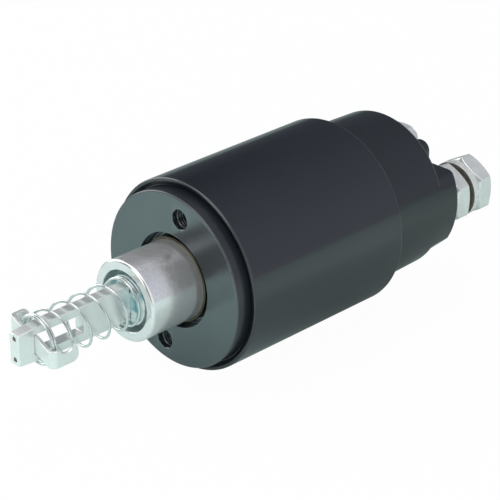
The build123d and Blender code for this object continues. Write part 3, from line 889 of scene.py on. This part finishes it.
@dataclass
class Spring:
    """A compression spring along Y."""

    wire: float
    coil: float
    low: float
    high: float
    open_turns: float
    front_turns: float = 1.0
    rear_turns: float = 1.0
    start: float = 0.0
    end_gap: float = 0.1
    closed_pitch: float = 1.05
    turn_steps: int = 56

    def build(self, name: str, first: float = 0.0, last: float = 1.0) -> Thing:
        """Wind the spring, or the share of it between two parts of its length.

        Args:
            name: Object name.
            first: Share of the wire at which the piece begins.
            last: Share at which it ends.

        Returns:
            The wound piece.
        """
        half = self.wire / 2
        turns = (self.front_turns + self.open_turns + self.rear_turns) * (last - first)
        obj = RuleTrees.grow(name, RuleTrees.coil(), Finishes.WIRE, {
            "Coil": self.coil, "Wire": half, "Low": self.low + self.end_gap + half,
            "High": self.high - self.end_gap - half, "Closed Rise": self.closed_pitch * self.wire}, {
            "Front Turns": self.front_turns, "Open Turns": self.open_turns,
            "Rear Turns": self.rear_turns, "Start": math.radians(self.start), "First": first,
            "Last": last, "Sides": 18, "Steps": int(self.turn_steps * turns)})
        LOG.info("%s: %d faces", name, len(obj.data.polygons))
        return obj


@dataclass
class HexNut:
    """A hexagon nut with chamfered corners, two flats square to X or to Z."""

    flats: float
    thickness: float
    bore: float
    turn: float = 30.0
    corner: float = 0.5
    columns: int = 180
    face_share: float = 0.475
    lead_share: float = 0.08
    ease: float = 0.12
    land: float = 0.3

    def reach(self, angle: float) -> float:
        """Distance of the rounded hexagon from its axis.

        Args:
            angle: Direction in radians.

        Returns:
            The distance.
        """
        half, sixth = self.flats / 2, math.pi / 6
        off = abs((angle - math.radians(self.turn) + sixth) % (2 * sixth) - sixth)
        flat = half / math.cos(sixth - off)
        centre = (half - self.corner) / math.cos(sixth)
        inside = self.corner ** 2 - (centre * math.sin(off)) ** 2
        return flat if inside <= 0 else min(flat, centre * math.cos(off) + math.sqrt(inside))

    def build(self, name: str, x: float, y: float, z: float) -> Thing:
        """Make the nut.

        Args:
            name: Object name.
            x: Axis place along X.
            y: Place of its front face.
            z: Axis place along Z.

        Returns:
            The nut.
        """
        face, lead = self.flats * self.face_share, self.bore * (1.0 + self.lead_share)
        slope, ease, top = math.tan(math.radians(30)), self.ease, self.thickness
        points: list[Point] = []
        for c, s in circle(self.columns):
            edge = self.reach(math.atan2(s, c))
            drop = max(0.02, (edge - face) * slope)
            front = [
                (self.bore, lead - self.bore), (lead, 0.0), (lead + self.land, 0.0),
                (face - self.land, 0.0), (face - 0.05, 0.01), (face + 0.08, 0.05),
                (edge - ease, drop - ease * slope), (edge, drop + ease), (edge, drop + 2.5 * ease)]
            rear = [(reach, top - rise) for reach, rise in reversed(front)]
            points += [(x + reach * c, y + min(max(rise, 0.0), top), z + reach * s)
                       for reach, rise in [(self.bore, top / 2), *front, *rear]]
        faces = Maker.skin(self.columns, len(points) // self.columns, closed=True)
        return Maker.ease(Maker.piece(name, points, faces))


@dataclass
class Can:
    """Drawn can, mounting plate with its tapped holes, and the guide sleeve."""

    radius: float = 29.0
    bore: float = 26.0
    front: float = 4.4
    rear: float = 65.3
    recess: float = 27.4
    curl: float = 25.75
    curl_length: float = 1.2
    plate_rear: float = 10.4
    land: float = 26.65
    land_edge: float = 0.35
    mouth: float = 14.35
    mouth_depth: float = 4.0
    hole_circle: float = 41.0
    hole_radius: float = 3.0
    hole_depth: float = 9.0
    hole_turn: float = 80.0
    fit: float = 0.05
    sleeve_in: float = 12.22
    sleeve_out: float = 12.85
    sleeve_front: float = 0.7
    sleeve_rear: float = 55.7

    def holes(self) -> Outline:
        """Place the two tapped holes.

        Returns:
            X and Z of each.
        """
        turns = [math.radians(self.hole_turn + more) for more in (0.0, 180.0)]
        return [(self.hole_circle / 2 * math.cos(turn), self.hole_circle / 2 * math.sin(turn))
                for turn in turns]

    def can(self) -> None:
        """Turn the can with its rolled front lip and the curl behind."""
        step = self.front + 1.0
        obj = Maker.turned("can_shell", [
            (self.bore, self.plate_rear), (self.recess, self.plate_rear), (self.recess, step),
            (self.recess - 0.4, step), (self.recess - 0.4, self.front + 0.6),
            (self.recess + 0.6, self.front, 0.12), (self.radius - 0.15, self.front, 0.35),
            (self.radius, self.front + 0.55, 0.5), (self.radius, self.rear, 0.5),
            (self.curl, self.rear, 0.1), (self.curl, self.rear - self.curl_length, 0.1),
            (self.bore, self.rear - self.curl_length, 0.05)], segments=256, radius=0.1, hold=0.4)
        Maker.dress(obj, Finishes.CAN, "housing", "can")

    def plate(self) -> None:
        """Turn the mounting plate and drill its two tapped holes."""
        rim, seat = self.recess - self.fit, self.sleeve_out + self.fit
        obj = Maker.turned("mounting_plate", [
            (self.mouth, 0.0, 0.2), (self.land, 0.0, 0.45), (self.land, self.front + 1.0, 0.05),
            (rim, self.front + 1.0), (rim, self.plate_rear), (seat, self.plate_rear),
            (seat, self.mouth_depth), (self.mouth, self.mouth_depth, 0.3)],
            segments=256, radius=0.1, hold=0.4)
        for x, z in self.holes():
            Maker.combine(obj, Maker.turned("drill", [
                (0.0, -1.0), (self.hole_radius + 1.1, -1.0), (self.hole_radius, 0.1),
                (self.hole_radius, self.hole_depth), (0.0, self.hole_depth + 0.6)],
                x, z, 96, 0.0, 0.0))
        Maker.ease(obj)
        Maker.dress(obj, Finishes.PLATE, "housing", "front_plate")
        edge = self.land - self.land_edge
        Maker.accent(obj, Finishes.LAND, lambda at: math.hypot(at.x, at.z) > edge)

    def threads(self) -> None:
        """Wind an edged ridge in each tapped hole."""
        for number, (x, z) in enumerate(self.holes(), 1):
            obj = RuleTrees.grow(f"hole_thread_{number}", RuleTrees.coil(), Finishes.THREAD, {
                "Coil": self.hole_radius - self.fit, "Wire": 0.46, "Low": 1.3, "High": 8.2,
                "Closed Rise": 0.9}, {
                "Front Turns": 0.1, "Open Turns": 7.4, "Rear Turns": 0.1, "Start": 1.0 + number,
                "Sides": 4, "Steps": 360})
            obj.data.transform(Matrix.Translation((x * MM, 0.0, z * MM)))
            Maker.dress(obj, Finishes.THREAD, "housing")

    def sleeve(self) -> None:
        """Turn the brass guide sleeve."""
        obj = Maker.turned("sleeve_tube", [
            (self.sleeve_in, self.sleeve_front, 0.2), (self.sleeve_out, self.sleeve_front, 0.25),
            (self.sleeve_out, self.sleeve_rear), (self.sleeve_in, self.sleeve_rear)],
            radius=0.1, hold=0.3)
        Maker.dress(obj, Finishes.BRASS, "housing", "guide_sleeve")

    def build(self) -> None:
        """Build every piece of the can."""
        self.can()
        self.plate()
        self.threads()
        self.sleeve()


@dataclass
class PlungerSet:
    """Plunger, its spring seat and the springs that work on it."""

    radius: float = 12.15
    front: float = -18.1
    rear: float = 33.0
    recess: float = 9.2
    shoulder: float = -13.6
    bore: float = 7.2
    bore_rear: float = 12.5
    pocket: float = 8.5
    pocket_front: float = 21.0
    boss: float = 3.8
    seat_radius: float = 7.6
    seat_wall: float = 1.2
    seat_front: float = -17.4
    seat_rear: float = -16.2
    slot_x: float = 3.9
    slot_z: float = 7.0

    def plunger(self) -> None:
        """Turn the plunger with its stepped mouth."""
        obj = Maker.turned("plunger_body", [
            (self.recess, self.front, 0.35), (self.radius, self.front, 0.75),
            (self.radius, self.rear, 0.6), (self.pocket, self.rear),
            (self.pocket, self.pocket_front), (self.boss, self.pocket_front),
            (self.boss, self.rear), (0.0, self.rear), (0.0, self.bore_rear),
            (self.bore, self.bore_rear), (self.bore, self.shoulder), (self.recess, self.shoulder)],
            segments=224, radius=0.15, hold=0.4)
        Maker.dress(obj, Finishes.PLUNGER, "plunger", "plunger")
        # The mouth's walls and shoulder get a darker teal finish: painted shade in the recess.
        Maker.accent(obj, Finishes.MOUTH_SHADE, lambda at: math.hypot(at.x, at.z) < self.recess + 0.05
                     and self.front + 0.3 < at.y < self.shoulder + 0.1)

    def seat(self) -> None:
        """Turn the zinc seat cup and cut the slot for the bar's tail."""
        inner = self.seat_radius - self.seat_wall
        obj = Maker.turned("seat_cup", [
            (0.0, self.seat_front), (self.seat_radius, self.seat_front, 0.5),
            (self.seat_radius, self.shoulder, 0.1), (inner, self.shoulder, 0.1),
            (inner, self.seat_rear, 0.4), (0.0, self.seat_rear)],
            segments=144, radius=0.1, hold=0.3)
        space = Matrix.Translation((0.0, self.seat_front - 1.0, 0.0)) @ Matrix.Rotation(
            math.radians(-90), 4, "X")
        x, z = self.slot_x / 2, self.slot_z / 2
        Maker.combine(obj, Maker.plate("slot", [(-x, -z), (x, -z), (x, z), (-x, z)], space, 3.0))
        Maker.dress(Maker.ease(obj), Finishes.SEAT, "plunger", "spring_seat")

    def springs(self) -> None:
        """Wind the meshing spring and the plunger's return spring."""
        obj = Spring(1.6, 5.5, self.seat_rear, 7.5, 5.0).build("meshing_wire")
        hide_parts("meshing_spring")
        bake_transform(obj)
        obj = Spring(1.4, 6.3, self.pocket_front, 47.3, 4.0).build("return_wire")
        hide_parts("plunger_return_spring")
        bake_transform(obj)

    def build(self) -> None:
        """Build every piece of the set."""
        self.plunger()
        self.seat()
        self.springs()


@dataclass
class HookSet:
    """Hook bar, bent spring clip and the outer spring between clip and seat."""

    front: float = -56.8
    shoulder: float = -17.6
    tail_rear: float = 10.8
    thickness: float = 3.8
    height: float = 10.9
    nose: float = 9.3
    nose_length: float = 10.0
    tail: float = 6.5
    window_front: float = -51.3
    window_rear: float = -34.2
    window_height: float = 5.8
    mark_z: float = 3.15
    joint: float = 0.62
    split: float = 0.6
    outer_spring: Spring = field(default_factory=lambda: Spring(
        0.8, 7.05, -50.1, -17.4, 4.5, 1.6, 1.25, 165.0))

    def bar(self) -> None:
        """Stamp the bar with its window and the two centre marks on its front."""
        half, low, tail = self.height / 2, self.nose / 2, self.tail / 2
        lower = [(self.front, -low), (self.front + self.nose_length, -half),
                 (self.shoulder, -half), (self.shoulder, -tail), (self.tail_rear, -tail, 0.3)]
        upper = [(place[0], -place[1], *place[2:]) for place in reversed(lower)]
        space = Matrix(((0, 0, 1, -self.thickness / 2), (1, 0, 0, 0), (0, 1, 0, 0), (0, 0, 0, 1)))
        obj = Maker.plate("bar_blank", soften(lower + upper, 0.0, 6), space, self.thickness)
        high = self.window_height / 2
        window = [(self.window_front, -high), (self.window_rear, -high),
                  (self.window_rear, high), (self.window_front, high)]
        Maker.combine(obj, Maker.plate("window", window, space @ Matrix.Translation((0, 0, -1)),
                                       self.thickness + 2))
        for side in (-1.0, 1.0):
            Maker.combine(obj, Maker.turned("mark", [
                (0.0, self.front - 1.0), (0.9, self.front - 0.4), (0.65, self.front + 0.5),
                (0.0, self.front + 0.9)], 0.0, side * self.mark_z, 32, 0.0, 0.0))
        Maker.ease(obj, 0.3, 40.0)
        Maker.dress(obj, Finishes.ZINC, "hook", "hook_bar")
        # The punch marks' faces get a dark finish: painted shade in the hollows.
        Maker.accent(obj, Finishes.PUNCH_SHADE, lambda at: self.front + 0.04 < at.y < self.front + 1.0
                     and math.hypot(at.x, abs(at.z) - self.mark_z) < 0.75)

    def clip(self) -> None:
        """Finish the bent clip from its CAD shape, with eased edges."""
        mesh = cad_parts["spring_clip"].data.copy()
        Maker.mend(mesh, flat=1.0)
        obj = stand("clip_strip", mesh)
        Maker.ease(obj, 0.22, 50.0)
        Maker.dress(obj, Finishes.ZINC, "clip", "spring_clip")

    def spring(self) -> None:
        """Wind the outer spring in two lengths."""
        low, high = self.outer_spring.low, self.outer_spring.high
        middle = (low + self.joint * (high - low)) * MM
        front = self.outer_spring.build("outer_wire_front", 0.0, self.split)
        rear = self.outer_spring.build("outer_wire_rear", self.split, 1.0)
        for obj, bodies, start, end in (
                (front, ("clip", "hook"), low * MM, middle),
                (rear, ("hook", "plunger"), middle, high * MM)):
            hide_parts("lever_spring")
            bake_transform(obj)

    def build(self) -> None:
        """Build every piece of the set."""
        self.bar()
        self.clip()
        self.spring()


@dataclass
class SwitchCap:
    """Moulded cap with its terminal platform, humps and the switch terminal's boss."""

    gasket_rear: float = 62.1
    flange_rear: float = 64.1
    rear: float = 88.3
    flange: float = 25.9
    body: float = 25.6
    cavity: float = 22.9
    cavity_rear: float = 80.5
    draft: float = 1.5
    draft_from: float = 86.3
    platform_rear: float = 95.2
    root: float = 84.0
    low_z: float = -12.4
    foot: float = 12.6
    bottom: float = 20.6
    top: float = 11.0
    corner: float = 4.5
    wall_steps: int = 16
    wall_share: float = 0.93
    hump_inner: float = 6.2
    hump_width: float = 6.8
    hump_top: float = 17.4
    channel: float = 7.0
    boss_z: float = 13.5
    boss: float = 5.6
    boss_rear: float = 92.4
    step: float = 0.05
    edge: float = 0.35

    def skin(self, y: float) -> float:
        """Outer radius of the drafted body at a station."""
        return self.body - (y - self.flange_rear) * math.tan(math.radians(self.draft))

    def outline(self, y: float) -> Outline:
        """Outline of the platform across the axis.

        Args:
            y: Station along the axis.

        Returns:
            The outline.
        """
        draft = (y - self.draft_from) * math.tan(math.radians(self.draft))
        radius = self.skin(self.root + 2.5) - self.step - draft
        low_z, top_z = self.low_z + draft, self.top - draft
        hump_out, hump_in = self.hump_inner + self.hump_width - draft, self.hump_inner + draft
        round_top, top = (hump_out - hump_in) / 2 * 0.98, self.hump_top - draft
        half: Outline = [(self.foot - 0.4 * draft, draft - self.bottom, 2.0),
                         (math.sqrt(radius ** 2 - low_z ** 2), low_z, 2.5)]
        low, high = math.asin(low_z / radius), math.asin(top_z / radius)
        for step in range(1, self.wall_steps):
            angle = low + (high - low) * step / self.wall_steps * self.wall_share
            half.append((radius * math.cos(angle), radius * math.sin(angle), 0.0))
        half += [(math.sqrt(radius ** 2 - top_z ** 2) - 0.2, top_z, self.corner),
                 (hump_out, top_z, 0.8), (hump_out, top, round_top), (hump_in, top, round_top),
                 (hump_in, self.channel + draft, 1.0)]
        mirrored = [(-place[0], *place[1:]) for place in reversed(half)]
        return soften(half + mirrored, 0.0, 8, away=100.0)

    def build(self) -> None:
        """Turn the body, add the platform and the boss, and ease the edges."""
        obj = Maker.turned("cap_moulding", [
            (self.cavity, self.gasket_rear), (self.flange, self.gasket_rear),
            (self.flange, self.flange_rear), (self.body, self.flange_rear),
            (self.skin(self.rear), self.rear, 0.9), (0.0, self.rear), (0.0, self.cavity_rear),
            (self.cavity, self.cavity_rear)], segments=256, radius=0.0, hold=0.0)
        space = Matrix(((1, 0, 0, 0), (0, 0, 1, 0), (0, 1, 0, 0), (0, 0, 0, 1)))
        sections, stations = [self.outline(self.root)], [self.root]
        for step in range(5):
            turn = math.radians(22.5 * step)
            stations.append(self.platform_rear - self.edge + self.edge * math.sin(turn))
            sections.append(inset(self.outline(stations[-1]), self.edge * (1 - math.cos(turn))))
        Maker.combine(obj, Maker.stacked("platform", sections, stations, space), "UNION")
        Maker.combine(obj, Maker.turned("boss", [
            (0.0, self.root), (self.boss, self.root, 0.0), (self.boss, self.boss_rear, 0.4),
            (0.0, self.boss_rear)], 0.0, self.boss_z, 96, 0.0, 0.0), "UNION")
        Maker.dress(Maker.ease(obj), Finishes.CAP, "housing", "switch_cap")
        # Clear the edge marks on faces behind the body's rear face, so the platform and the boss get
        # neither rubbed edges nor a painted highlight line.
        marks = obj.data.attributes["edge"].data
        for face in obj.data.polygons:
            if face.center.y > (self.rear + 0.3) * MM:
                for place in face.vertices:
                    marks[place].value = 0.0


@dataclass
class MainTerminal:
    """One M10 terminal: stud, seated nut, split washer and loose nut."""

    side: str
    x: float
    stud_radius: float = 5.0
    pitch: float = 1.5
    depth: float = 0.85
    lead: float = 0.9
    thread_front: float = 80.4
    head_x: float = 10.4
    head_z: float = 12.0
    head_front: float = 76.15
    head_rear: float = 80.5
    seat: float = 95.2
    rear: float = 114.5
    washer_front: float = 102.7
    washer_thickness: float = 2.5
    washer_radius: float = 8.8
    washer_gap: float = 1.2
    washer_steps: int = 150
    nut: HexNut = field(default_factory=lambda: HexNut(17.0, 6.0, 5.05))

    def stud(self) -> None:
        """Grow the threaded shank and make the contact head in front of it."""
        shank = RuleTrees.grow(self.side + "_stud_thread", RuleTrees.thread(), Finishes.NUT, {
            "Radius": self.stud_radius, "Depth": self.depth, "Pitch": self.pitch,
            "Low": self.thread_front, "High": self.rear, "Lead": self.lead, "Across": self.x,
            "Up": 0.0}, {"Sides": 72, "Rows": 276})
        space = Matrix(((1, 0, 0, self.x), (0, 0, 1, self.head_front), (0, 1, 0, 0), (0, 0, 0, 1)))
        x, z = self.head_x / 2, self.head_z / 2
        outline = soften([(-x, -z), (x, -z), (x, z), (-x, z)], 2.0, 6, away=50.0)
        head = Maker.plate(self.side + "_stud_head", outline, space,
                           self.head_rear - self.head_front)
        Maker.dress(Maker.ease(head, 0.2), Finishes.STEEL, "housing")
        Maker.dress(shank, Finishes.NUT, "housing", self.side + "_stud")
        end = self.washer_front + self.washer_thickness + 0.6
        # The thread in the gap between the nuts gets the dark finish: painted shade, with some rust.
        Maker.accent(shank, Finishes.GAP_SHADE, lambda at: self.seat < at.y < end)

    def washer(self) -> None:
        """Sweep the split washer's section almost once round the stud."""
        inner, outer, thick = self.stud_radius + 0.15, self.washer_radius, self.washer_thickness
        section = soften(
            [(inner, 0.0), (outer, 0.0), (outer, thick), (inner, thick)], 0.3, 4, 0.3)
        gap = self.washer_gap / outer
        points: list[Point] = []
        for step in range(self.washer_steps + 1):
            swept = gap / 2 + (2 * math.pi - gap) * step / self.washer_steps - math.pi / 2
            for reach, rise in section:
                turn = swept + (rise / thick - 0.5) * thick / outer
                points.append((self.x + reach * math.cos(turn), self.washer_front + rise,
                               reach * math.sin(turn)))
        depth, count = len(section), len(points)
        faces = [list(range(depth)), list(range(count - depth, count))]
        faces += Maker.skin(self.washer_steps + 1, depth)
        obj = Maker.ease(Maker.piece(self.side + "_split_washer", points, faces))
        Maker.dress(obj, Finishes.WASHER, "housing", self.side + "_lock_washer")
        # The washer's front face gets it too: painted shade in the gap, with some rust.
        Maker.accent(obj, Finishes.GAP_SHADE, lambda at: at.y < self.washer_front + 0.15)

    def build(self) -> None:
        """Build the terminal."""
        self.stud()
        inner = self.nut.build(self.side + "_seated_nut", self.x, self.seat, 0.0)
        Maker.dress(inner, Finishes.NUT, "housing", self.side + "_inner_nut")
        self.washer()
        outer = self.nut.build(
            self.side + "_loose_nut", self.x, self.washer_front + self.washer_thickness, 0.0)
        Maker.dress(outer, Finishes.NUT, "housing", self.side + "_outer_nut")


@dataclass
class SwitchTerminal:
    """The small M6 terminal on the round boss."""

    z: float = 13.5
    radius: float = 3.0
    pitch: float = 1.0
    depth: float = 0.55
    lead: float = 0.6
    thread_front: float = 80.4
    head: float = 4.8
    head_front: float = 78.0
    head_rear: float = 80.5
    seat: float = 92.4
    washer_radius: float = 6.0
    washer_thickness: float = 1.2
    rear: float = 101.5
    nut: HexNut = field(default_factory=lambda: HexNut(10.0, 5.0, 3.05, 0.0, 0.35, 144))

    def build(self) -> None:
        """Build stud, washer and nut."""
        shank = RuleTrees.grow("switch_stud_thread", RuleTrees.thread(), Finishes.NUT, {
            "Radius": self.radius, "Depth": self.depth, "Pitch": self.pitch,
            "Low": self.thread_front, "High": self.rear, "Lead": self.lead, "Across": 0.0,
            "Up": self.z}, {"Sides": 60, "Rows": 240})
        head = Maker.turned("switch_stud_head", [
            (0.0, self.head_front), (self.head, self.head_front), (self.head, self.head_rear),
            (0.0, self.head_rear)], 0.0, self.z, 72)
        Maker.dress(head, Finishes.STEEL, "housing")
        Maker.dress(shank, Finishes.NUT, "housing", "switch_stud")
        inner, outer, top = self.radius + 0.15, self.washer_radius, self.seat + self.washer_thickness
        washer = Maker.turned("switch_flat_washer", [
            (inner, self.seat), (outer, self.seat), (outer, top), (inner, top)],
            0.0, self.z, 96, 0.2)
        Maker.dress(washer, Finishes.NUT, "housing", "switch_washer")
        Maker.dress(self.nut.build("switch_terminal_nut", 0.0, top, self.z), Finishes.NUT,
                    "housing", "switch_nut")


@dataclass
class InnerWorks:
    """Hidden pieces: CAD nodes that keep their shape and get real finishes, and two springs."""

    finishes: dict[str, Finish] = field(default_factory=lambda: {
        "bobbin": Finishes.BOBBIN, "hold_in_winding": Finishes.WINDING,
        "pull_in_winding": Finishes.WINDING, "fixed_core": Finishes.STEEL,
        "cap_gasket": Finishes.RUBBER, "lead_grommets": Finishes.RUBBER,
        "pull_in_lead": Finishes.WINDING, "switch_lead": Finishes.WINDING,
        "hook_head_washer": Finishes.STEEL, "push_rod": Finishes.STEEL,
        "bridge_bush": Finishes.INSULATOR, "contact_bridge": Finishes.COPPER,
        "bridge_washer": Finishes.INSULATOR, "rod_clip": Finishes.STEEL})

    def build(self) -> None:
        """Dress the hidden nodes and wind the contact springs."""
        for name, finish in self.finishes.items():
            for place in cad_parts[name].material_slots:
                place.material = finish.material()
            LOG.info("%s: dressed as %s", name, finish.name)
        over = Spring(0.9, 3.9, 62.6, 68.6, 2.0).build("contact_wire")
        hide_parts("contact_spring")
        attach(over, "contact")
        back = Spring(0.8, 3.6, 75.4, 85.5, 3.5).build("rebound_wire")
        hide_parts("contact_return_spring")
        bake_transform(back)


@dataclass
class Studio:
    """Camera, white surround, floor, cards and soft lights. Lengths are in metres."""

    focal: float = 146.56
    place: Point = (0.37911, -0.34166, 0.26723)
    right: Point = (0.70091, 0.71325, 0.0)
    up: Point = (-0.32170, 0.31614, 0.89251)
    ahead: Point = (-0.63658, 0.62557, -0.45104)
    aim: Point = (0.0, 0.025, 0.0)
    soft_light: float = 0.4
    floor_z: float = -0.0295
    floor_half: float = 3.0
    floor_white: float = 0.975
    floor_glow_in_reflections: float = 0.55
    # Place and reach of the painted shadow that reflections see round the part.
    shade_y: float = 0.06
    shade_reach: float = 0.12
    fade_share: float = 0.65

    def camera(self) -> None:
        """Stand the camera where the photograph was taken from."""
        data = bpy.data.cameras.new("camera")
        data.lens = self.focal
        data.sensor_width = 36.0
        data.clip_start = 0.01
        data.clip_end = 50.0
        obj = stand("camera", data)
        turn = Matrix((self.right, self.up, [-value for value in self.ahead])).transposed()
        obj.matrix_world = Matrix.Translation(self.place) @ turn.to_4x4()
        bpy.context.scene.camera = obj

    def surround(self) -> None:
        """Fill the world: white to the camera and in reflections, soft grey as light."""
        world = bpy.data.worlds.new("surround")
        bpy.context.scene.world = world
        world.use_nodes = True
        wires = Wiring(world.node_tree)
        wires.tree.nodes.clear()
        rays = wires.node("ShaderNodeLightPath").outputs
        seen = Flow(wires.tree, rays["Is Camera Ray"])
        for kind in ("Is Glossy Ray", "Is Transmission Ray"):
            seen = seen.calc("MAXIMUM", rays[kind])
        soft, white = [wires.value("ShaderNodeBackground", 0, {
            "Color": (1.0, 1.0, 1.0, 1.0), "Strength": power}) for power in (self.soft_light, 1.0)]
        mixed = wires.value("ShaderNodeMixShader", 0, {"Fac": seen, 1: soft, 2: white})
        wires.node("ShaderNodeOutputWorld", {"Surface": mixed})

    def fade(self, wires: Wiring, along: Point, low: float, width: float, near: Point,
             far: Point, shaded: bool = False) -> Flow:
        """Fade from one colour to another along a level direction.

        Args:
            wires: Wiring of the material.
            along: Weights of X and Y in the direction.
            low: Place where the fade begins.
            width: Length of the fade.
            near: Colour before it.
            far: Colour after it.
            shaded: Darken the fade round the part's footprint, as a painted shadow.

        Returns:
            The colour.
        """
        place = wires.value("ShaderNodeTexCoord", "Object")
        x, y, _ = wires.axes(place)
        share = (x * along[0] + y * along[1] - low).calc("DIVIDE", width, clamp=True)
        if shaded:
            scale = 1.0 / self.shade_reach
            off = wires.value("ShaderNodeVectorMath", 0, {
                0: place, 1: (scale, scale, 0.0), 2: (0.0, -self.shade_y / self.shade_reach, 0.0)},
                operation="MULTIPLY_ADD")
            off = wires.value("ShaderNodeVectorMath", "Value", {0: off}, operation="LENGTH")
            share = share * off.calc("MINIMUM", 1.0)
        return wires.mix(share, near, far)

    @staticmethod
    def sheet(name: str, corners: list[Point], finish: str) -> tuple[Thing, Wiring]:
        """Make a four-cornered sheet with a material of its own.

        Args:
            name: Sheet name.
            corners: Its corners.
            finish: Name of the material.

        Returns:
            The sheet and the material's wiring.
        """
        mesh = bpy.data.meshes.new(name)
        mesh.from_pydata(corners, [], [[0, 1, 2, 3]])
        material = bpy.data.materials.new(finish)
        material.use_nodes = True
        mesh.materials.append(material)
        return stand(name, mesh), Wiring(material.node_tree)

    def floor(self) -> None:
        """Lay a floor under the part: white to the camera, with painted light and shadow for
        reflections.
        """
        half, z = self.floor_half, self.floor_z
        obj, wires = self.sheet("floor", [
            (-half, -half, z), (half, -half, z), (half, half, z), (-half, half, z)], "floor_white")
        shader = wires.tree.nodes["Principled BSDF"]
        wires.feed(shader, {"Base Color": (0.72, 0.86, 0.83, 1.0), "Roughness": 0.9,
                            "Specular IOR Level": 0.0})
        rays = wires.node("ShaderNodeLightPath").outputs
        # Reflections see the floor glow with painted light: dark toward the back left, darker still
        # in a painted shadow round the part, bright toward the front right.
        painted_floor_glow = self.fade(wires, (1.0, -1.0), -0.22, 0.2, (0.03, 0.04, 0.05, 1.0),
                         (0.8, 1.0, 0.98, 1.0), shaded=True)
        shown = shader.outputs[0]
        for kind, share, inputs in (("Is Camera Ray", self.floor_white, {}),
                                    ("Is Glossy Ray", self.floor_glow_in_reflections, {"Color": painted_floor_glow})):
            glow = wires.value("ShaderNodeEmission", 0, inputs)
            seen = Flow(wires.tree, rays[kind]) * share
            shown = wires.value("ShaderNodeMixShader", 0, {"Fac": seen, 1: shown, 2: glow})
        wires.feed(wires.tree.nodes["Material Output"], {"Surface": shown})

    def card(self, name: str, left: float, right: float, y: float, top: float, near: Point,
             far: Point) -> None:
        """Stand a glowing card across the Y axis that only reflections show; its glow fades from
        left to right.

        Args:
            name: Card name.
            left: Left end along X.
            right: Right end along X.
            y: Its place along Y.
            top: Its height.
            near: Colour at the left end.
            far: Colour at the right end.
        """
        obj, wires = self.sheet(name, [
            (left, y, self.floor_z), (right, y, self.floor_z), (right, y, top), (left, y, top)],
            name + "_glow")
        obj.visible_camera = False
        obj.visible_diffuse = False
        obj.visible_shadow = False
        wires.tree.nodes.remove(wires.tree.nodes["Principled BSDF"])
        color = self.fade(wires, (1.0, 0.0), self.fade_share * left,
                          self.fade_share * (right - left), near, far)
        wires.feed(wires.tree.nodes["Material Output"], {
            "Surface": wires.value("ShaderNodeEmission", 0, {"Color": color})})

    def lamp(self, name: str, place: Point, size: float, power: float,
             mirrored: bool = True) -> None:
        """Hang a square soft light that faces the part.

        Args:
            name: Light name.
            place: Where it hangs.
            size: Side length.
            power: Power in watts.
            mirrored: Whether reflections show it.
        """
        data = bpy.data.lights.new(name, "AREA")
        data.shape = "SQUARE"
        data.size = size
        data.energy = power
        obj = stand(name, data)
        obj.visible_glossy = mirrored
        turn = (Vector(self.aim) - Vector(place)).to_track_quat("-Z", "Y").to_matrix()
        obj.matrix_world = Matrix.Translation(place) @ turn.to_4x4()

    def build(self) -> None:
        """Set up the studio."""
        bpy.context.scene.view_settings.view_transform = "Standard"
        self.camera()
        self.surround()
        self.floor()
        self.card("back_card", -3.6, 3.6, 2.2, 4.2, (0.11, 0.12, 0.14, 1.0),
                  (0.52, 0.54, 0.63, 1.0))
        dark = (0.05, 0.05, 0.06, 1.0)
        self.card("front_card", -4.5, 6.0, -2.5, 12.0, dark, dark)
        self.lamp("top_light", (-0.1, -0.1, 1.1), 1.2, 5.0)
        self.lamp("left_light", (-1.2, -0.15, 0.5), 1.0, 5.5)
        self.lamp("front_light", (-0.15, -1.0, 0.45), 0.7, 3.0)
        self.lamp("right_light", (1.0, -0.6, 0.3), 0.8, 5.0, mirrored=False)


def main() -> None:
    """Build the studio and every piece of the solenoid in order."""
    logging.basicConfig(level=logging.INFO, format="%(name)s: %(message)s")
    for obj in [obj for obj in bpy.data.objects if obj.type in {"LIGHT", "CAMERA"}]:
        bpy.data.objects.remove(obj)
    for unit in (Studio(), Can(), PlungerSet(), HookSet(), SwitchCap(),
                 MainTerminal("motor", 16.3), MainTerminal("battery", -16.3), SwitchTerminal(),
                 InnerWorks()):
        unit.build()


if __name__ == "__main__":
    main()
